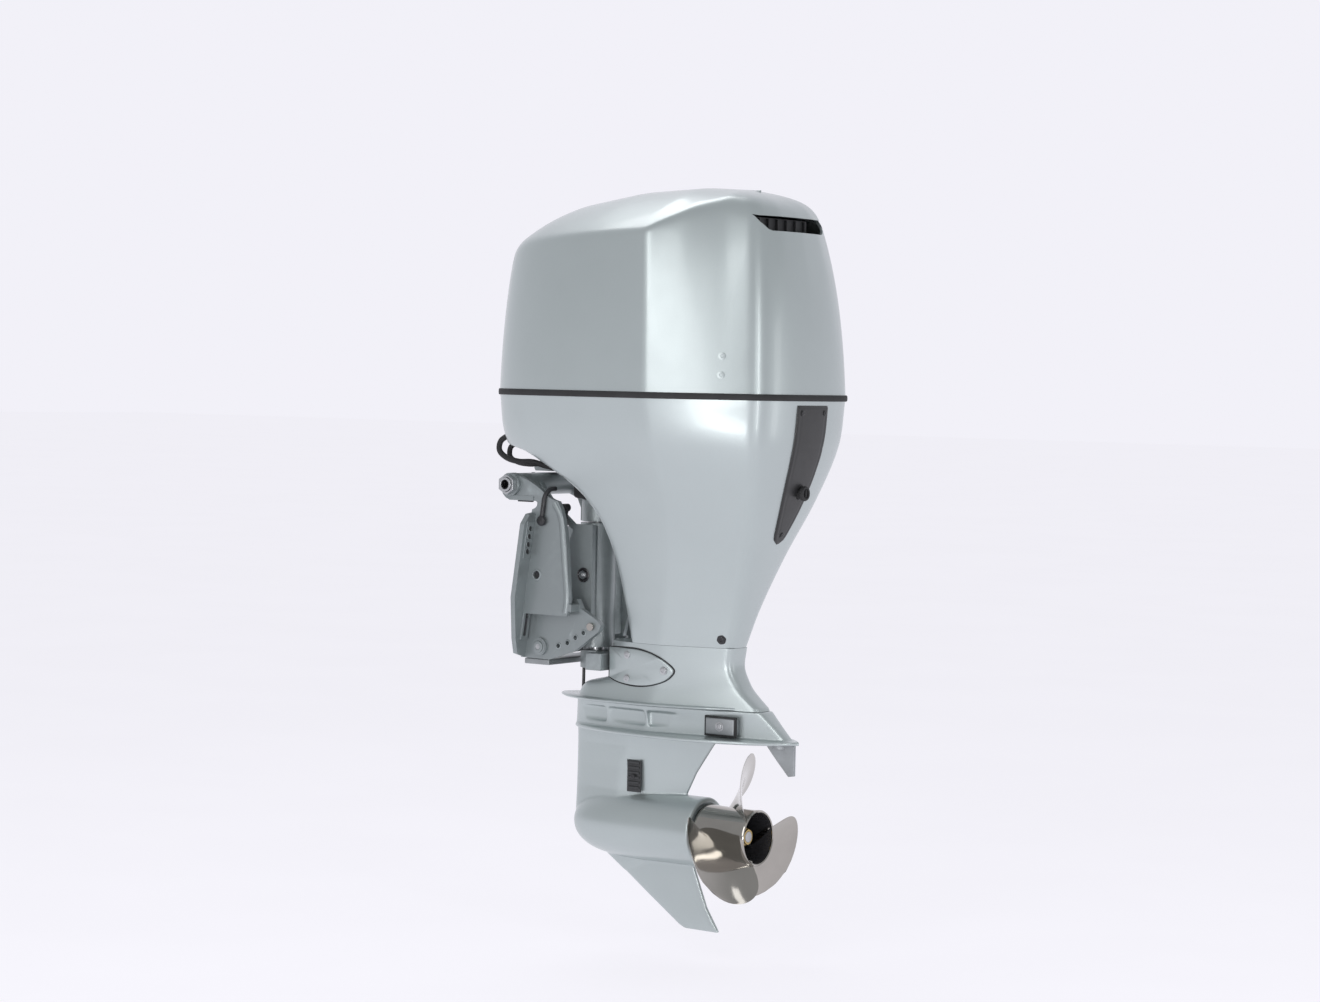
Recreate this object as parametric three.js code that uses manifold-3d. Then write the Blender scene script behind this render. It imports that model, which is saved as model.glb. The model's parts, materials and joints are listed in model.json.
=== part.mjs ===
// Outboard motor, long shaft.
// Frame: +X towards the bow, +Y to port, +Z up, millimetres.
// The origin is on the centreline, at the aft top corner of the boat's transom.
import * as THREE from 'three';
import { mergeVertices } from 'three/addons/utils/BufferGeometryUtils.js';
import Module from 'manifold-3d';

const wasm = await Module();
wasm.setup();

// ---------------------------------------------------------------- driving sizes
const GAP = 0.3;
const RAKE = THREE.MathUtils.degToRad(8);      // transom face against the vertical leg
const SWIVEL_X = -74;                          // steering axis
const DRIVE_X = -262;                          // crankshaft and drive shaft axis
const SHIFT_X = -150;                          // lower shift rod
const PROP_Z = -719;                           // propeller shaft axis
const TILT = { x: 61, z: 38 };                 // tilt tube axis
const LOWER_PIVOT = { x: -5, z: -325 };        // tilt cylinder's lower pin
const UPPER_PIVOT = { x: -6, z: -75 };         // tilt rod's upper pin
const SEAM_Z = 246;                            // joint between the two cowls
const SEAM_HALF = 4;                           // half the height of its rubber
const WALL = 6;                                // cowl wall
const COVER_FOOT = -305;                       // where lower cover and leg meet
const LEG_FOOT = -440;                         // where leg and gear case meet
const PLATE_Z = -500;                          // top of the anti-ventilation plate
const BULLET_R = 77;
const BULLET_AFT = -385;
const HUB = { front: -388, aft: -524, radius: 61, bore: 57 };
const PROP_R = 184;
const PROP_PITCH = 430;
const BLADE_ANGLES = [-33, 87, 207];           // from port, turning upwards

// ---------------------------------------------------------------- finishes
const finish = (color, roughness, metalness) => new THREE.MeshStandardMaterial({ color, roughness, metalness });
const silver = finish(0xbfc5c8, 0.35, 0.55);
const castSilver = finish(0xa7adb1, 0.5, 0.6);
const blackRubber = finish(0x1a1a1b, 0.8, 0);
const blackPlastic = finish(0x2b2b2d, 0.55, 0);
const stainless = finish(0xc9c4bc, 0.15, 1);
const steel = finish(0x8d9195, 0.3, 1);
const zinc = finish(0x9aa0a3, 0.6, 0.7);
const brass = finish(0xb59a55, 0.35, 1);
const castIron = finish(0x55585b, 0.6, 0.6);

// ---------------------------------------------------------------- making solids
const v2 = (x, y) => new THREE.Vector2(x, y);
const v3 = (x, y, z) => new THREE.Vector3(x, y, z);

function solid(geometry) {
  const bare = geometry.index ? geometry.toNonIndexed() : geometry.clone();
  bare.deleteAttribute('normal');
  if (bare.attributes.uv) bare.deleteAttribute('uv');
  const merged = mergeVertices(bare, 1e-3);
  const vertProperties = new Float32Array(merged.attributes.position.array);
  const triVerts = new Uint32Array(merged.index.array);
  return new wasm.Manifold(new wasm.Mesh({ numProp: 3, vertProperties, triVerts }));
}

function geometryOf(manifold) {
  const mesh = manifold.getMesh();
  const geometry = new THREE.BufferGeometry();
  geometry.setAttribute('position', new THREE.BufferAttribute(new Float32Array(mesh.vertProperties), 3));
  geometry.setIndex(new THREE.BufferAttribute(new Uint32Array(mesh.triVerts), 1));
  return geometry;
}

// Joins the first list of geometries and cuts the second list out of them.
function carve(added, removed = []) {
  const whole = added.map(solid).reduce((a, b) => a.add(b));
  return geometryOf(removed.map(solid).reduce((a, b) => a.subtract(b), whole));
}

function box(x0, x1, y0, y1, z0, z1) {
  const geometry = new THREE.BoxGeometry(x1 - x0, y1 - y0, z1 - z0);
  return geometry.translate((x0 + x1) / 2, (y0 + y1) / 2, (z0 + z1) / 2);
}

// A cylinder along axis 'x', 'y' or 'z' from a to b, through the point given by the other two.
function rod(axis, a, b, u, v, radius, sides = 20, endRadius = radius) {
  const geometry = new THREE.CylinderGeometry(endRadius, radius, b - a, sides);
  const middle = (a + b) / 2;
  if (axis === 'x') return geometry.rotateZ(-Math.PI / 2).translate(middle, u, v);
  if (axis === 'y') return geometry.translate(u, middle, v);
  return geometry.rotateX(Math.PI / 2).translate(u, v, middle);
}

// A side view drawn in x and z, made solid between two values of y.
function slab(points, y0, y1) {
  const shape = points instanceof THREE.Shape ? points : new THREE.Shape(points.map(([x, z]) => v2(x, z)));
  const geometry = new THREE.ExtrudeGeometry(shape, { depth: y1 - y0, bevelEnabled: false, curveSegments: 4 });
  return geometry.rotateX(Math.PI / 2).translate(0, y1, 0);
}

// A plan view drawn in x and y, made solid between two heights.
function plate(points, z0, z1) {
  const shape = points instanceof THREE.Shape ? points : new THREE.Shape(points.map(([x, y]) => v2(x, y)));
  const geometry = new THREE.ExtrudeGeometry(shape, { depth: z1 - z0, bevelEnabled: false, curveSegments: 8 });
  return geometry.translate(0, 0, z0);
}

// A front view drawn in y and z, made solid between two values of x.
function bar(points, x0, x1) {
  const shape = points instanceof THREE.Shape ? points : new THREE.Shape(points.map(([y, z]) => v2(y, z)));
  const geometry = new THREE.ExtrudeGeometry(shape, { depth: x1 - x0, bevelEnabled: false, curveSegments: 4 });
  return geometry.rotateX(Math.PI / 2).rotateZ(Math.PI / 2).translate(x0, 0, 0);
}

// Skins a stack of closed rings that all have the same number of points. Each end is closed by rungs
// between points i and pivot - i, which face each other across the ring.
function loft(rings, pivot = 0) {
  const count = rings[0].length;
  const positions = rings.flat().flatMap((p) => [p.x, p.y, p.z]);
  const index = [];
  for (let r = 0; r < rings.length - 1; r += 1) {
    for (let i = 0; i < count; i += 1) {
      const j = (i + 1) % count;
      const low = r * count;
      const high = low + count;
      index.push(low + i, low + j, high + j, low + i, high + j, high + i);
    }
  }
  const cap = (start, outwards) => {
    for (let i = 0; i < count / 2; i += 1) {
      const [a, b, c, d] = [i, i + 1, pivot - i - 1, pivot - i].map((k) => start + ((k + count) % count));
      for (const [p, q, r] of [[a, b, c], [a, c, d]]) {
        if (p !== q && q !== r && r !== p) index.push(p, outwards ? q : r, outwards ? r : q);
      }
    }
  };
  cap(0, false);
  cap((rings.length - 1) * count, true);
  const geometry = new THREE.BufferGeometry();
  geometry.setAttribute('position', new THREE.Float32BufferAttribute(positions, 3));
  geometry.setIndex(index);
  return geometry;
}

const mirrored = (points) => points.map(([x, y]) => [x, -y]);

// ---------------------------------------------------------------- the covers' sections
// One horizontal section, port half from the front centre to the aft centre, then back to starboard.
function outline({ front, wide, wideX, cornerX, cornerY, aft }, inset = 0) {
  const f = front - inset;
  const w = wide - inset;
  const kx = cornerX + inset;
  const ky = cornerY - inset;
  const a = aft + inset;
  const reach = f - wideX;
  const nose = new THREE.CubicBezierCurve(v2(f, 0), v2(f, 0.73 * w), v2(f - 0.15 * reach, 0.78 * w), v2(wideX, w));
  const side = new THREE.QuadraticBezierCurve(
    v2(wideX, w), v2((wideX + kx) / 2, (w + ky) / 2 + 0.05 * w), v2(kx, ky));
  const stern = new THREE.CubicBezierCurve(v2(kx, ky), v2(kx + (a - kx) * 0.8, 0.8 * ky), v2(a, 0.4 * ky), v2(a, 0));
  const port = [...nose.getPoints(9).slice(0, -1), ...side.getPoints(3).slice(0, -1), ...stern.getPoints(3)];
  const starboard = port.slice(1, -1).reverse().map((p) => v2(p.x, -p.y));
  return [...port, ...starboard];
}

const ringAt = (section, z, inset) => outline(section, inset).map((p) => v3(p.x, p.y, z));

// Sections between the given ones, by a smooth curve through each measure.
function sectionAt(sections, z) {
  const names = ['front', 'wide', 'wideX', 'cornerX', 'cornerY', 'aft'];
  let k = sections.findIndex((s) => s.z <= z);
  if (k < 0) k = sections.length - 1;
  if (k === 0) k = 1;
  const upper = sections[k - 1];
  const lower = sections[k];
  const before = sections[Math.max(k - 2, 0)];
  const after = sections[Math.min(k + 1, sections.length - 1)];
  const t = (z - upper.z) / (lower.z - upper.z);
  const slope = (name, a, b) => (a === b ? 0 : (b[name] - a[name]) / (b.z - a.z)) * (lower.z - upper.z);
  const result = {};
  for (const name of names) {
    const m0 = slope(name, before, lower);
    const m1 = slope(name, upper, after);
    const h00 = 2 * t ** 3 - 3 * t ** 2 + 1;
    const h10 = t ** 3 - 2 * t ** 2 + t;
    result[name] = h00 * upper[name] + h10 * m0 + (1 - h00) * lower[name] + (t ** 3 - t ** 2) * m1;
  }
  return result;
}

const SEAM_SECTION = { z: 246, front: 138, wide: 275, wideX: -380, cornerX: -612, cornerY: 180, aft: -641 };
const COVER_SECTIONS = [
  SEAM_SECTION,
  { z: 140, front: 128, wide: 248, wideX: -383, cornerX: -602, cornerY: 172, aft: -629 },
  { z: 20, front: 62, wide: 176, wideX: -370, cornerX: -571, cornerY: 132, aft: -592 },
  { z: -100, front: -20, wide: 118, wideX: -345, cornerX: -528, cornerY: 84, aft: -542 },
  { z: -220, front: -90, wide: 90, wideX: -320, cornerX: -486, cornerY: 51, aft: -495 },
  { z: -305, front: -115, wide: 78, wideX: -300, cornerX: -462, cornerY: 36, aft: -467 },
];
const LEG_SECTIONS = [
  { z: -305, front: -140, wide: 77, wideX: -300, cornerX: -462, cornerY: 36, aft: -467 },
  { z: -350, front: -138, wide: 75, wideX: -295, cornerX: -460, cornerY: 33, aft: -464 },
  { z: -386, front: -132, wide: 74, wideX: -286, cornerX: -477, cornerY: 31, aft: -482 },
  { z: -404, front: -66, wide: 75, wideX: -280, cornerX: -492, cornerY: 30, aft: -497 },
  { z: -440, front: -42, wide: 82, wideX: -265, cornerX: -534, cornerY: 27, aft: -540 },
];

// The covers' crown: every point of the seam climbs to a shoulder and then turns in to the spine.
function crownPoint(seam, t, inset) {
  const along = THREE.MathUtils.clamp((seam.x + 641) / 779, 0, 1);
  const side = Math.min(1, Math.abs(seam.y) / 180);
  const crownZ = 702 - inset - 58 * Math.max(0, (along - 0.36) / 0.64) ** 1.7;
  const spineX = THREE.MathUtils.clamp(seam.x, -470, -60) * 0.94 - 18;
  const spine = v3(spineX, 0, crownZ);
  const shoulderZ = THREE.MathUtils.lerp(652, THREE.MathUtils.lerp(672, 622, along), side) - inset;
  const lean = THREE.MathUtils.lerp(0.915, 0.78, Math.max(0, (along - 0.45) / 0.55) ** 1.6);
  const shoulder = v3(-300 + (seam.x + 300) * lean, seam.y * (0.93 - 0.03 * side), shoulderZ);
  const hold = 0.95;
  const low = seam.clone().lerp(shoulder, hold);
  const high = spine.clone().lerp(shoulder, 0.92);
  return new THREE.CubicBezierCurve3(seam, low, high, spine).getPoint(t);
}

function crown(steps, inset, foot) {
  const seam = ringAt(SEAM_SECTION, SEAM_Z + SEAM_HALF, inset);
  const rings = [seam.map((p) => v3(p.x, p.y, foot))];
  for (let k = 0; k <= steps; k += 1) {
    const t = 0.96 * (k / steps);
    rings.push(seam.map((p) => crownPoint(p, t, inset)));
  }
  return loft(foot < SEAM_Z + SEAM_HALF ? rings : rings.slice(1));
}

function bell(sections, top, bottom, steps, inset) {
  const rings = [];
  for (let k = 0; k <= steps; k += 1) {
    const z = THREE.MathUtils.lerp(bottom, top, k / steps);
    rings.push(ringAt(sectionAt(sections, z), z, inset));
  }
  return loft(rings);
}

// ---------------------------------------------------------------- scene graph
const motor = new THREE.Group();
const bracket = new THREE.Group();
const swivel = new THREE.Group();
const engine = new THREE.Group();
const drive = new THREE.Group();
motor.add(bracket, swivel, engine, drive);

function part(group, name, geometry, material, position = [0, 0, 0]) {
  const mesh = new THREE.Mesh(geometry, material);
  mesh.name = name;
  mesh.position.set(...position);
  group.add(mesh);
  return mesh;
}

const SIDES = [['port', 1], ['starboard', -1]];

// ---------------------------------------------------------------- top cowl
const slotShape = [[-130, 634], [130, 634], [106, 601], [-106, 601]];
part(engine, 'top_cowl', carve([crown(10, 0, SEAM_Z + SEAM_HALF + GAP)], [
  crown(7, WALL, SEAM_Z - 20), bar(slotShape, -700, -550),
]), silver);

// Louvre that sits behind the slot in the aft face of the cowl.
const grille = (() => {
  const frame = box(-546, -538, -104, 104, 590, 632);
  const slats = [0, 1, 2, 3, 4, 5].map((i) => box(-552, -537, -90 + 36 * i - 3, -90 + 36 * i + 3, 592, 630));
  return carve([frame, ...slats]);
})();
part(engine, 'air_intake_grille', grille, blackPlastic);

// ---------------------------------------------------------------- seal and lower cover
const sealBand = carve(
  [loft([ringAt(SEAM_SECTION, SEAM_Z - SEAM_HALF, -1.5), ringAt(SEAM_SECTION, SEAM_Z + SEAM_HALF, -1.5)])],
  [loft([ringAt(SEAM_SECTION, SEAM_Z - 20, 14), ringAt(SEAM_SECTION, SEAM_Z + 20, 14)])],
);
part(engine, 'seal_band', sealBand, blackRubber);

const PLUG = { y: -12, z: 39, radius: 12 };

// Side view of the space that the lower cover encloses: the front edge runs down to the leg.
const coverEdge = (inset) => new THREE.Shape([
  v2(200, 300), v2(200, 122 + inset), v2(105, 122 + inset), v2(34 - 0.3 * inset, 104 + inset),
  v2(-32 - 0.5 * inset, 72 + inset), v2(-92 - 0.8 * inset, 37 + inset), v2(-130 - inset, 3 + 0.8 * inset),
  v2(-158 - inset, -34 + 0.5 * inset), v2(-183 - inset, -121), v2(-200 - inset, -215), v2(-219 - inset, -330),
  v2(-700, -330), v2(-700, 300),
]);
const coverWindow = slab(coverEdge(0), -320, 320);
const coverHollow = slab(coverEdge(WALL), -320, 320);
const lowerCover = (() => {
  const outer = solid(bell(COVER_SECTIONS, SEAM_Z - SEAM_HALF - GAP, COVER_FOOT + GAP, 12, 0));
  const inner = solid(bell(COVER_SECTIONS, SEAM_Z + 10, COVER_FOOT - 10, 10, WALL));
  const shell = outer.intersect(solid(coverWindow)).subtract(inner.intersect(solid(coverHollow)));
  const mountWay = solid(box(-230, -60, -50, 50, -50, 14));
  const plugWay = solid(rod('x', -720, -540, PLUG.y, PLUG.z, PLUG.radius + 1));
  const footOpening = solid(box(-250, -180, -60, 60, -320, -296));
  const switchBed = solid(box(-216, -184, -262, -225, 178, 202));
  return geometryOf(shell.subtract(mountWay).subtract(plugWay).subtract(footOpening).subtract(switchBed));
})();
part(engine, 'lower_cover', lowerCover, silver);

part(engine, 'power_tilt_switch', box(-213.5, -186.5, -243, -229, 180.5, 199.5), blackPlastic);
part(engine, 'cowl_latch_lever', carve([
  rod('x', 137, 146, -60, 205, 13, 16), box(138, 145, -66, -54, 140, 205)]), steel);

// Plastic panel on the aft face of the lower cover, standing 4 mm proud of it.
const PANEL = { proud: 4, sink: 3 };
const panelShape = () => {
  const shape = new THREE.Shape();
  shape.moveTo(-60, 230);
  shape.lineTo(60, 230);
  shape.quadraticCurveTo(66, 120, 44, 20);
  shape.lineTo(24, -52);
  shape.quadraticCurveTo(18, -72, 0, -74);
  shape.quadraticCurveTo(-18, -72, -24, -52);
  shape.lineTo(-44, 20);
  shape.quadraticCurveTo(-66, 120, -60, 230);
  return shape;
};
const rearPanel = (() => {
  const raised = solid(bell(COVER_SECTIONS, 240, -90, 15, -PANEL.proud));
  const face = solid(bell(COVER_SECTIONS, 250, -100, 15, -GAP));
  const column = solid(bar(panelShape(), -720, -520));
  const hole = solid(rod('x', -720, -520, PLUG.y, PLUG.z, PLUG.radius + GAP));
  return geometryOf(raised.subtract(face).intersect(column).subtract(hole));
})();
part(engine, 'rear_panel', rearPanel, blackPlastic);
const plug = carve([
  rod('x', -611, -590, PLUG.y, PLUG.z, PLUG.radius),
  rod('x', -620, -611, PLUG.y, PLUG.z, PLUG.radius + 4, 24),
]);
part(engine, 'flush_plug', plug, blackRubber);

// ---------------------------------------------------------------- leg
const legHollow = [
  box(-425, -238, -38, 38, -330, -40),
  loft([-500, -330].map((z) => ringAt({ front: -185, wide: 55, wideX: -290, cornerX: -420, cornerY: 26, aft: -425 }, z, 0))),
];
const legNeck = loft([-330, -70].map((z) => ringAt(
  { front: -229, wide: 56, wideX: -300, cornerX: -425, cornerY: 30, aft: -440 }, z, 0)));
const splashPlate = plate([[16, 0], [4, 26], [-40, 62], [-120, 92], [-300, 96], [-420, 70], [-480, 40],
  ...mirrored([[-480, 40], [-420, 70], [-300, 96], [-120, 92], [-40, 62], [4, 26]])], LEG_FOOT + GAP, LEG_FOOT + 6);
const legBody = bell(LEG_SECTIONS, COVER_FOOT - GAP, LEG_FOOT + GAP, 9, 0);
const yokeRelief = box(-142, 0, -90, 90, -378, -330);
const shiftWay = rod('z', -446, -340, SHIFT_X, 0, 7, 12);
part(engine, 'extension_case', carve([legBody, legNeck, splashPlate], [...legHollow, yokeRelief, shiftWay]), silver);

// Almond-shaped covers over the lower rubber mounts, one on each side of the leg.
const mountCoverShape = (() => {
  const shape = new THREE.Shape();
  shape.moveTo(-146, -316);
  shape.lineTo(-250, -312);
  shape.quadraticCurveTo(-330, -322, -350, -361);
  shape.quadraticCurveTo(-320, -402, -250, -408);
  shape.quadraticCurveTo(-200, -404, -146, -390);
  return shape;
})();
for (const [side, sign] of SIDES) {
  const leg = bell(LEG_SECTIONS, COVER_FOOT - GAP, LEG_FOOT + GAP, 9, -2 * GAP);
  const skin = bell(LEG_SECTIONS, COVER_FOOT - GAP, LEG_FOOT + GAP, 9, -4.5);
  const column = slab(mountCoverShape, sign > 0 ? 20 : -140, sign > 0 ? 140 : -20);
  const cover = solid(skin).intersect(solid(column)).subtract(solid(leg));
  part(engine, `mount_cover_${side}`, geometryOf(cover), silver);
}

// ---------------------------------------------------------------- gear case
const STRUT = { front: -35, wide: 44, wideX: -170 };
function strutRing(z, aft, wide) {
  const section = { ...STRUT, wide, cornerX: aft + 14, cornerY: 5, aft, wideX: (STRUT.front + aft) * 0.45 };
  return ringAt(section, z, 0);
}
const gearcaseHead = bell([
  { z: -440, front: -42, wide: 82, wideX: -265, cornerX: -534, cornerY: 27, aft: -540 },
  { z: -470, front: -38, wide: 72, wideX: -265, cornerX: -566, cornerY: 20, aft: -570 },
  { z: -500, front: -36, wide: 70, wideX: -265, cornerX: -596, cornerY: 16, aft: -602 },
], LEG_FOOT - GAP, PLATE_Z, 3, 0);
const headPockets = SIDES.flatMap(([, sign]) => [
  [-62, -150], [-158, -262], [-270, -380],
].map(([x0, x1]) => {
  const outerY = sign * 120;
  const depth = sign * (x0 === -62 ? 46 : 62);
  return box(x1, x0, Math.min(depth, outerY), Math.max(depth, outerY), -488, -452);
}));
const antiVentilationPlate = plate([[-32, 0], [-40, 30], [-80, 58], [-160, 92], [-300, 112], [-430, 108],
  [-540, 74], [-604, 30], [-624, 0],
  ...mirrored([[-604, 30], [-540, 74], [-430, 108], [-300, 112], [-160, 92], [-80, 58], [-40, 30]])],
PLATE_Z - 8, PLATE_Z);
const strut = loft([[-700, -330, 50], [-640, -337, 44], [-590, -362, 43], [-540, -396, 44], [-506, -421, 48]]
  .map(([z, aft, wide]) => strutRing(z, aft, wide)));
const bulletProfile = [[0, -36], [20, -38], [42, -52], [60, -82], [72, -130], [BULLET_R, -200],
  [BULLET_R, BULLET_AFT], [0, BULLET_AFT]].map(([r, x]) => v2(r, x));
const bullet = new THREE.LatheGeometry(bulletProfile.reverse(), 32).rotateZ(-Math.PI / 2).translate(0, 0, PROP_Z);
const skeg = (() => {
  const outerEdge = [[-60, -735], [-130, -792], [-319, -931], [-332, -939], [-424, -939], [-391, -887], [-352, -791],
    [-338, -770], [-200, -740]];
  return slab(outerEdge, -5, 5);
})();
const forefoot = slab([[-35, -660], [-35, -716], [-46, -735], [-120, -785], [-200, -800], [-200, -660]], -9, 9);
const cavity = [
  rod('x', -388, -118, 0, PROP_Z, 53, 28),
  rod('z', PROP_Z, LEG_FOOT + 5, DRIVE_X, 0, 15, 16),
  rod('z', PROP_Z, LEG_FOOT + 5, SHIFT_X, 0, 7, 12),
  rod('z', PROP_Z, PROP_Z + 55, DRIVE_X, 0, 25, 20),
];
const EXHAUST_WAY = box(-372, -290, -20, 20, -470, -430);
const intakePockets = SIDES.map(([, sign]) => box(-234, -196, sign > 0 ? 38 : -60, sign > 0 ? 60 : -38, -642, -570));
const anodePockets = SIDES.map(([, sign]) => box(-492, -412, sign > 0 ? 34 : -90, sign > 0 ? 90 : -34, -496, -454));
part(engine, 'gearcase', carve(
  [gearcaseHead, antiVentilationPlate, strut, bullet, skeg, forefoot],
  [...cavity, EXHAUST_WAY, ...headPockets, ...intakePockets, ...anodePockets],
), silver);
for (const [side, sign] of SIDES) {
  const screen = box(-233.5, -196.5, sign > 0 ? 38.4 : -46, sign > 0 ? 46 : -38.4, -641.5, -570.5);
  part(engine, `water_intake_${side}`, screen, blackPlastic);
  const block = box(-490, -414, sign > 0 ? 34.4 : -58, sign > 0 ? 58 : -34.4, -494, -456);
  const bolt = rod('y', sign > 0 ? 58 : -62, sign > 0 ? 62 : -58, -452, -475, 7, 12);
  part(engine, `anode_${side}`, carve([block, bolt]), zinc);
}
const TAB_TOP = PLATE_Z - 8 - GAP;
const trimTab = carve([
  slab([[-536, TAB_TOP], [-612, TAB_TOP], [-612, -575], [-598, -577], [-560, -536]], -4, 4),
  rod('z', TAB_TOP - 10, TAB_TOP, -574, 0, 16, 20),
]);
part(engine, 'trim_tab', trimTab, zinc);

// ---------------------------------------------------------------- propeller end
const BLADE_ROOT = 58.5;
const bladePoint = (radius, across, lift) => {
  const reach = (radius - BLADE_ROOT) / (PROP_R - BLADE_ROOT);
  const width = 0.76 * (1 - 0.3 * reach + 0.35 * Math.sin(Math.PI * reach)) * Math.sqrt(Math.max(0.12, 1 - reach ** 5));
  const turn = width * across + 0.18 * reach;
  const x = (PROP_PITCH / (2 * Math.PI)) * width * across - 6 - 24 * reach + lift;
  return [radius, turn, x];
};
function blade(angle) {
  const rings = [];
  const spans = [-1, -0.5, 0, 0.5, 1];
  for (let k = 0; k <= 6; k += 1) {
    const radius = THREE.MathUtils.lerp(BLADE_ROOT, PROP_R - 1, (k / 6) ** 0.85);
    const thick = THREE.MathUtils.lerp(9, 5, k / 6);
    const face = (sign) => spans.map((s) => bladePoint(radius, s, sign * thick / 2 * (1.4 - s * s)));
    const loop = [...face(-1), ...face(1).reverse()];
    rings.push(loop.map(([r, turn, x]) => v3(x, r * Math.cos(turn + angle), r * Math.sin(turn + angle))));
  }
  return loft(rings, -1);
}
const hub = (() => {
  const length = HUB.front - HUB.aft;
  const half = length / 2;
  const walls = [[HUB.bore, -half], [HUB.radius, -half], [HUB.radius + 2, half], [HUB.bore, half]];
  const shell = new THREE.LatheGeometry([...walls, walls[0]].map(([r, x]) => v2(r, x)), 32).rotateZ(-Math.PI / 2);
  const core = rod('x', -half + 46, half - 4, 0, 0, 27, 24);
  const ribs = [0, 1, 2].map((i) => box(-half + 50, half - 8, -4, 4, 20, HUB.bore + 3).rotateX(i * 2 * Math.PI / 3));
  return carve([shell, core, ...ribs, ...BLADE_ANGLES.map((a) => blade(THREE.MathUtils.degToRad(a)))],
    [rod('x', -half - 5, half + 5, 0, 0, 13, 20)]);
})();
part(drive, 'propeller', hub, stainless, [(HUB.front + HUB.aft) / 2, 0, PROP_Z]);
part(drive, 'prop_shaft', rod('x', -497, -135, 0, PROP_Z, 12.5, 20), steel);
part(drive, 'prop_nut', carve([rod('x', -496, -479, 0, PROP_Z, 20, 6)], [rod('x', -500, -470, 0, PROP_Z, 12.8, 20)]), brass);
part(drive, 'bearing_carrier', carve([rod('x', -384.5, -318, 0, PROP_Z, 52.6, 28)],
  [rod('x', -390, -310, 0, PROP_Z, 13, 20)]), castSilver);

// ---------------------------------------------------------------- gears and shafts
function gear(teeth, radius, tooth, depth, bore) {
  const shape = new THREE.Shape();
  const step = (2 * Math.PI) / teeth;
  for (let i = 0; i < teeth; i += 1) {
    const corners = [[radius, -0.3], [radius + tooth, -0.14], [radius + tooth, 0.14], [radius, 0.3]];
    for (const [r, offset] of corners) {
      const angle = (i + offset) * step;
      if (i === 0 && offset === -0.3) shape.moveTo(r * Math.cos(angle), r * Math.sin(angle));
      else shape.lineTo(r * Math.cos(angle), r * Math.sin(angle));
    }
  }
  const hole = new THREE.Path();
  hole.absarc(0, 0, bore, 0, 2 * Math.PI, true);
  shape.holes.push(hole);
  return new THREE.ExtrudeGeometry(shape, { depth, bevelEnabled: false, curveSegments: 8 });
}
part(drive, 'drive_shaft', rod('z', -689.5, 39.5, DRIVE_X, 0, 9.5, 16), steel);
part(drive, 'pinion_gear', gear(14, 16, 5, 20, 9.8), steel, [DRIVE_X, 0, -689]);
part(drive, 'forward_gear', gear(30, 44, 5, 20, 12.8).rotateY(Math.PI / 2), steel, [DRIVE_X + 29, 0, PROP_Z]);
part(drive, 'reverse_gear', gear(30, 44, 5, 20, 12.8).rotateY(Math.PI / 2), steel, [DRIVE_X - 49, 0, PROP_Z]);
part(drive, 'clutch_dog', carve([rod('x', DRIVE_X - 13, DRIVE_X + 13, 0, PROP_Z, 20, 20)],
  [rod('x', DRIVE_X - 15, DRIVE_X + 15, 0, PROP_Z, 12.8, 20)]), steel);
part(drive, 'lower_shift_rod', rod('z', -690, -345, SHIFT_X, 0, 5, 12), steel);
part(drive, 'crankshaft', carve([rod('z', 40, 582, DRIVE_X, 0, 16, 16), rod('z', 556, 566, DRIVE_X, 0, 34, 20)]), steel);
part(drive, 'flywheel', carve([rod('z', 529, 555.7, DRIVE_X, 0, 128, 32)], [
  rod('z', 520, 560, DRIVE_X, 0, 16.3, 16), ...[0, 1, 2, 3, 4].map((i) => {
    const angle = (i * 2 * Math.PI) / 5;
    return rod('z', 520, 560, DRIVE_X + 70 * Math.cos(angle), 70 * Math.sin(angle), 16, 12);
  })]), castIron);
part(drive, 'water_pump_housing', carve([rod('z', -439.7, -392, DRIVE_X, 0, 36, 20)], [
  rod('z', -445, -400, DRIVE_X, 0, 30, 20), rod('z', -445, -385, DRIVE_X, 0, 10.5, 16)]), blackPlastic);
part(drive, 'water_pump_impeller', gear(6, 14, 13, 24, 9.8), blackRubber, [DRIVE_X, 0, -428]);

// ---------------------------------------------------------------- powerhead
part(engine, 'mount_case', carve([box(-440, -190, -86, 86, -62, 59)], [
  rod('z', -70, 70, DRIVE_X, 0, 18, 16), box(-420, -290, -70, 70, -70, 50)]), castSilver);
part(engine, 'engine_block', carve([box(-484, -182, -112, 112, 60, 522)], [
  rod('z', 50, 530, DRIVE_X, 0, 16.4, 16),
  ...[0, 1, 2, 3].map((i) => rod('x', -486, -320, 0, 118 + 104 * i, 42, 16))]), castIron);
part(engine, 'cylinder_head_cover', carve([box(-572, -484.5, -104, 104, 74, 508)],
  [0, 1, 2, 3].map((i) => rod('x', -576, -530, 44, 118 + 104 * i, 14, 12))), castIron);
part(engine, 'intake_manifold', carve([
  rod('z', 130, 490, -330, 170, 34, 16), ...[0, 1, 2, 3].map((i) => box(-346, -314, 112.5, 160, 134 + 100 * i, 166 + 100 * i))],
[]), blackPlastic);
part(engine, 'oil_filter', rod('y', -182, -112.5, -390, 150, 36, 20), finish(0xd8d8d4, 0.5, 0.2));

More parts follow.
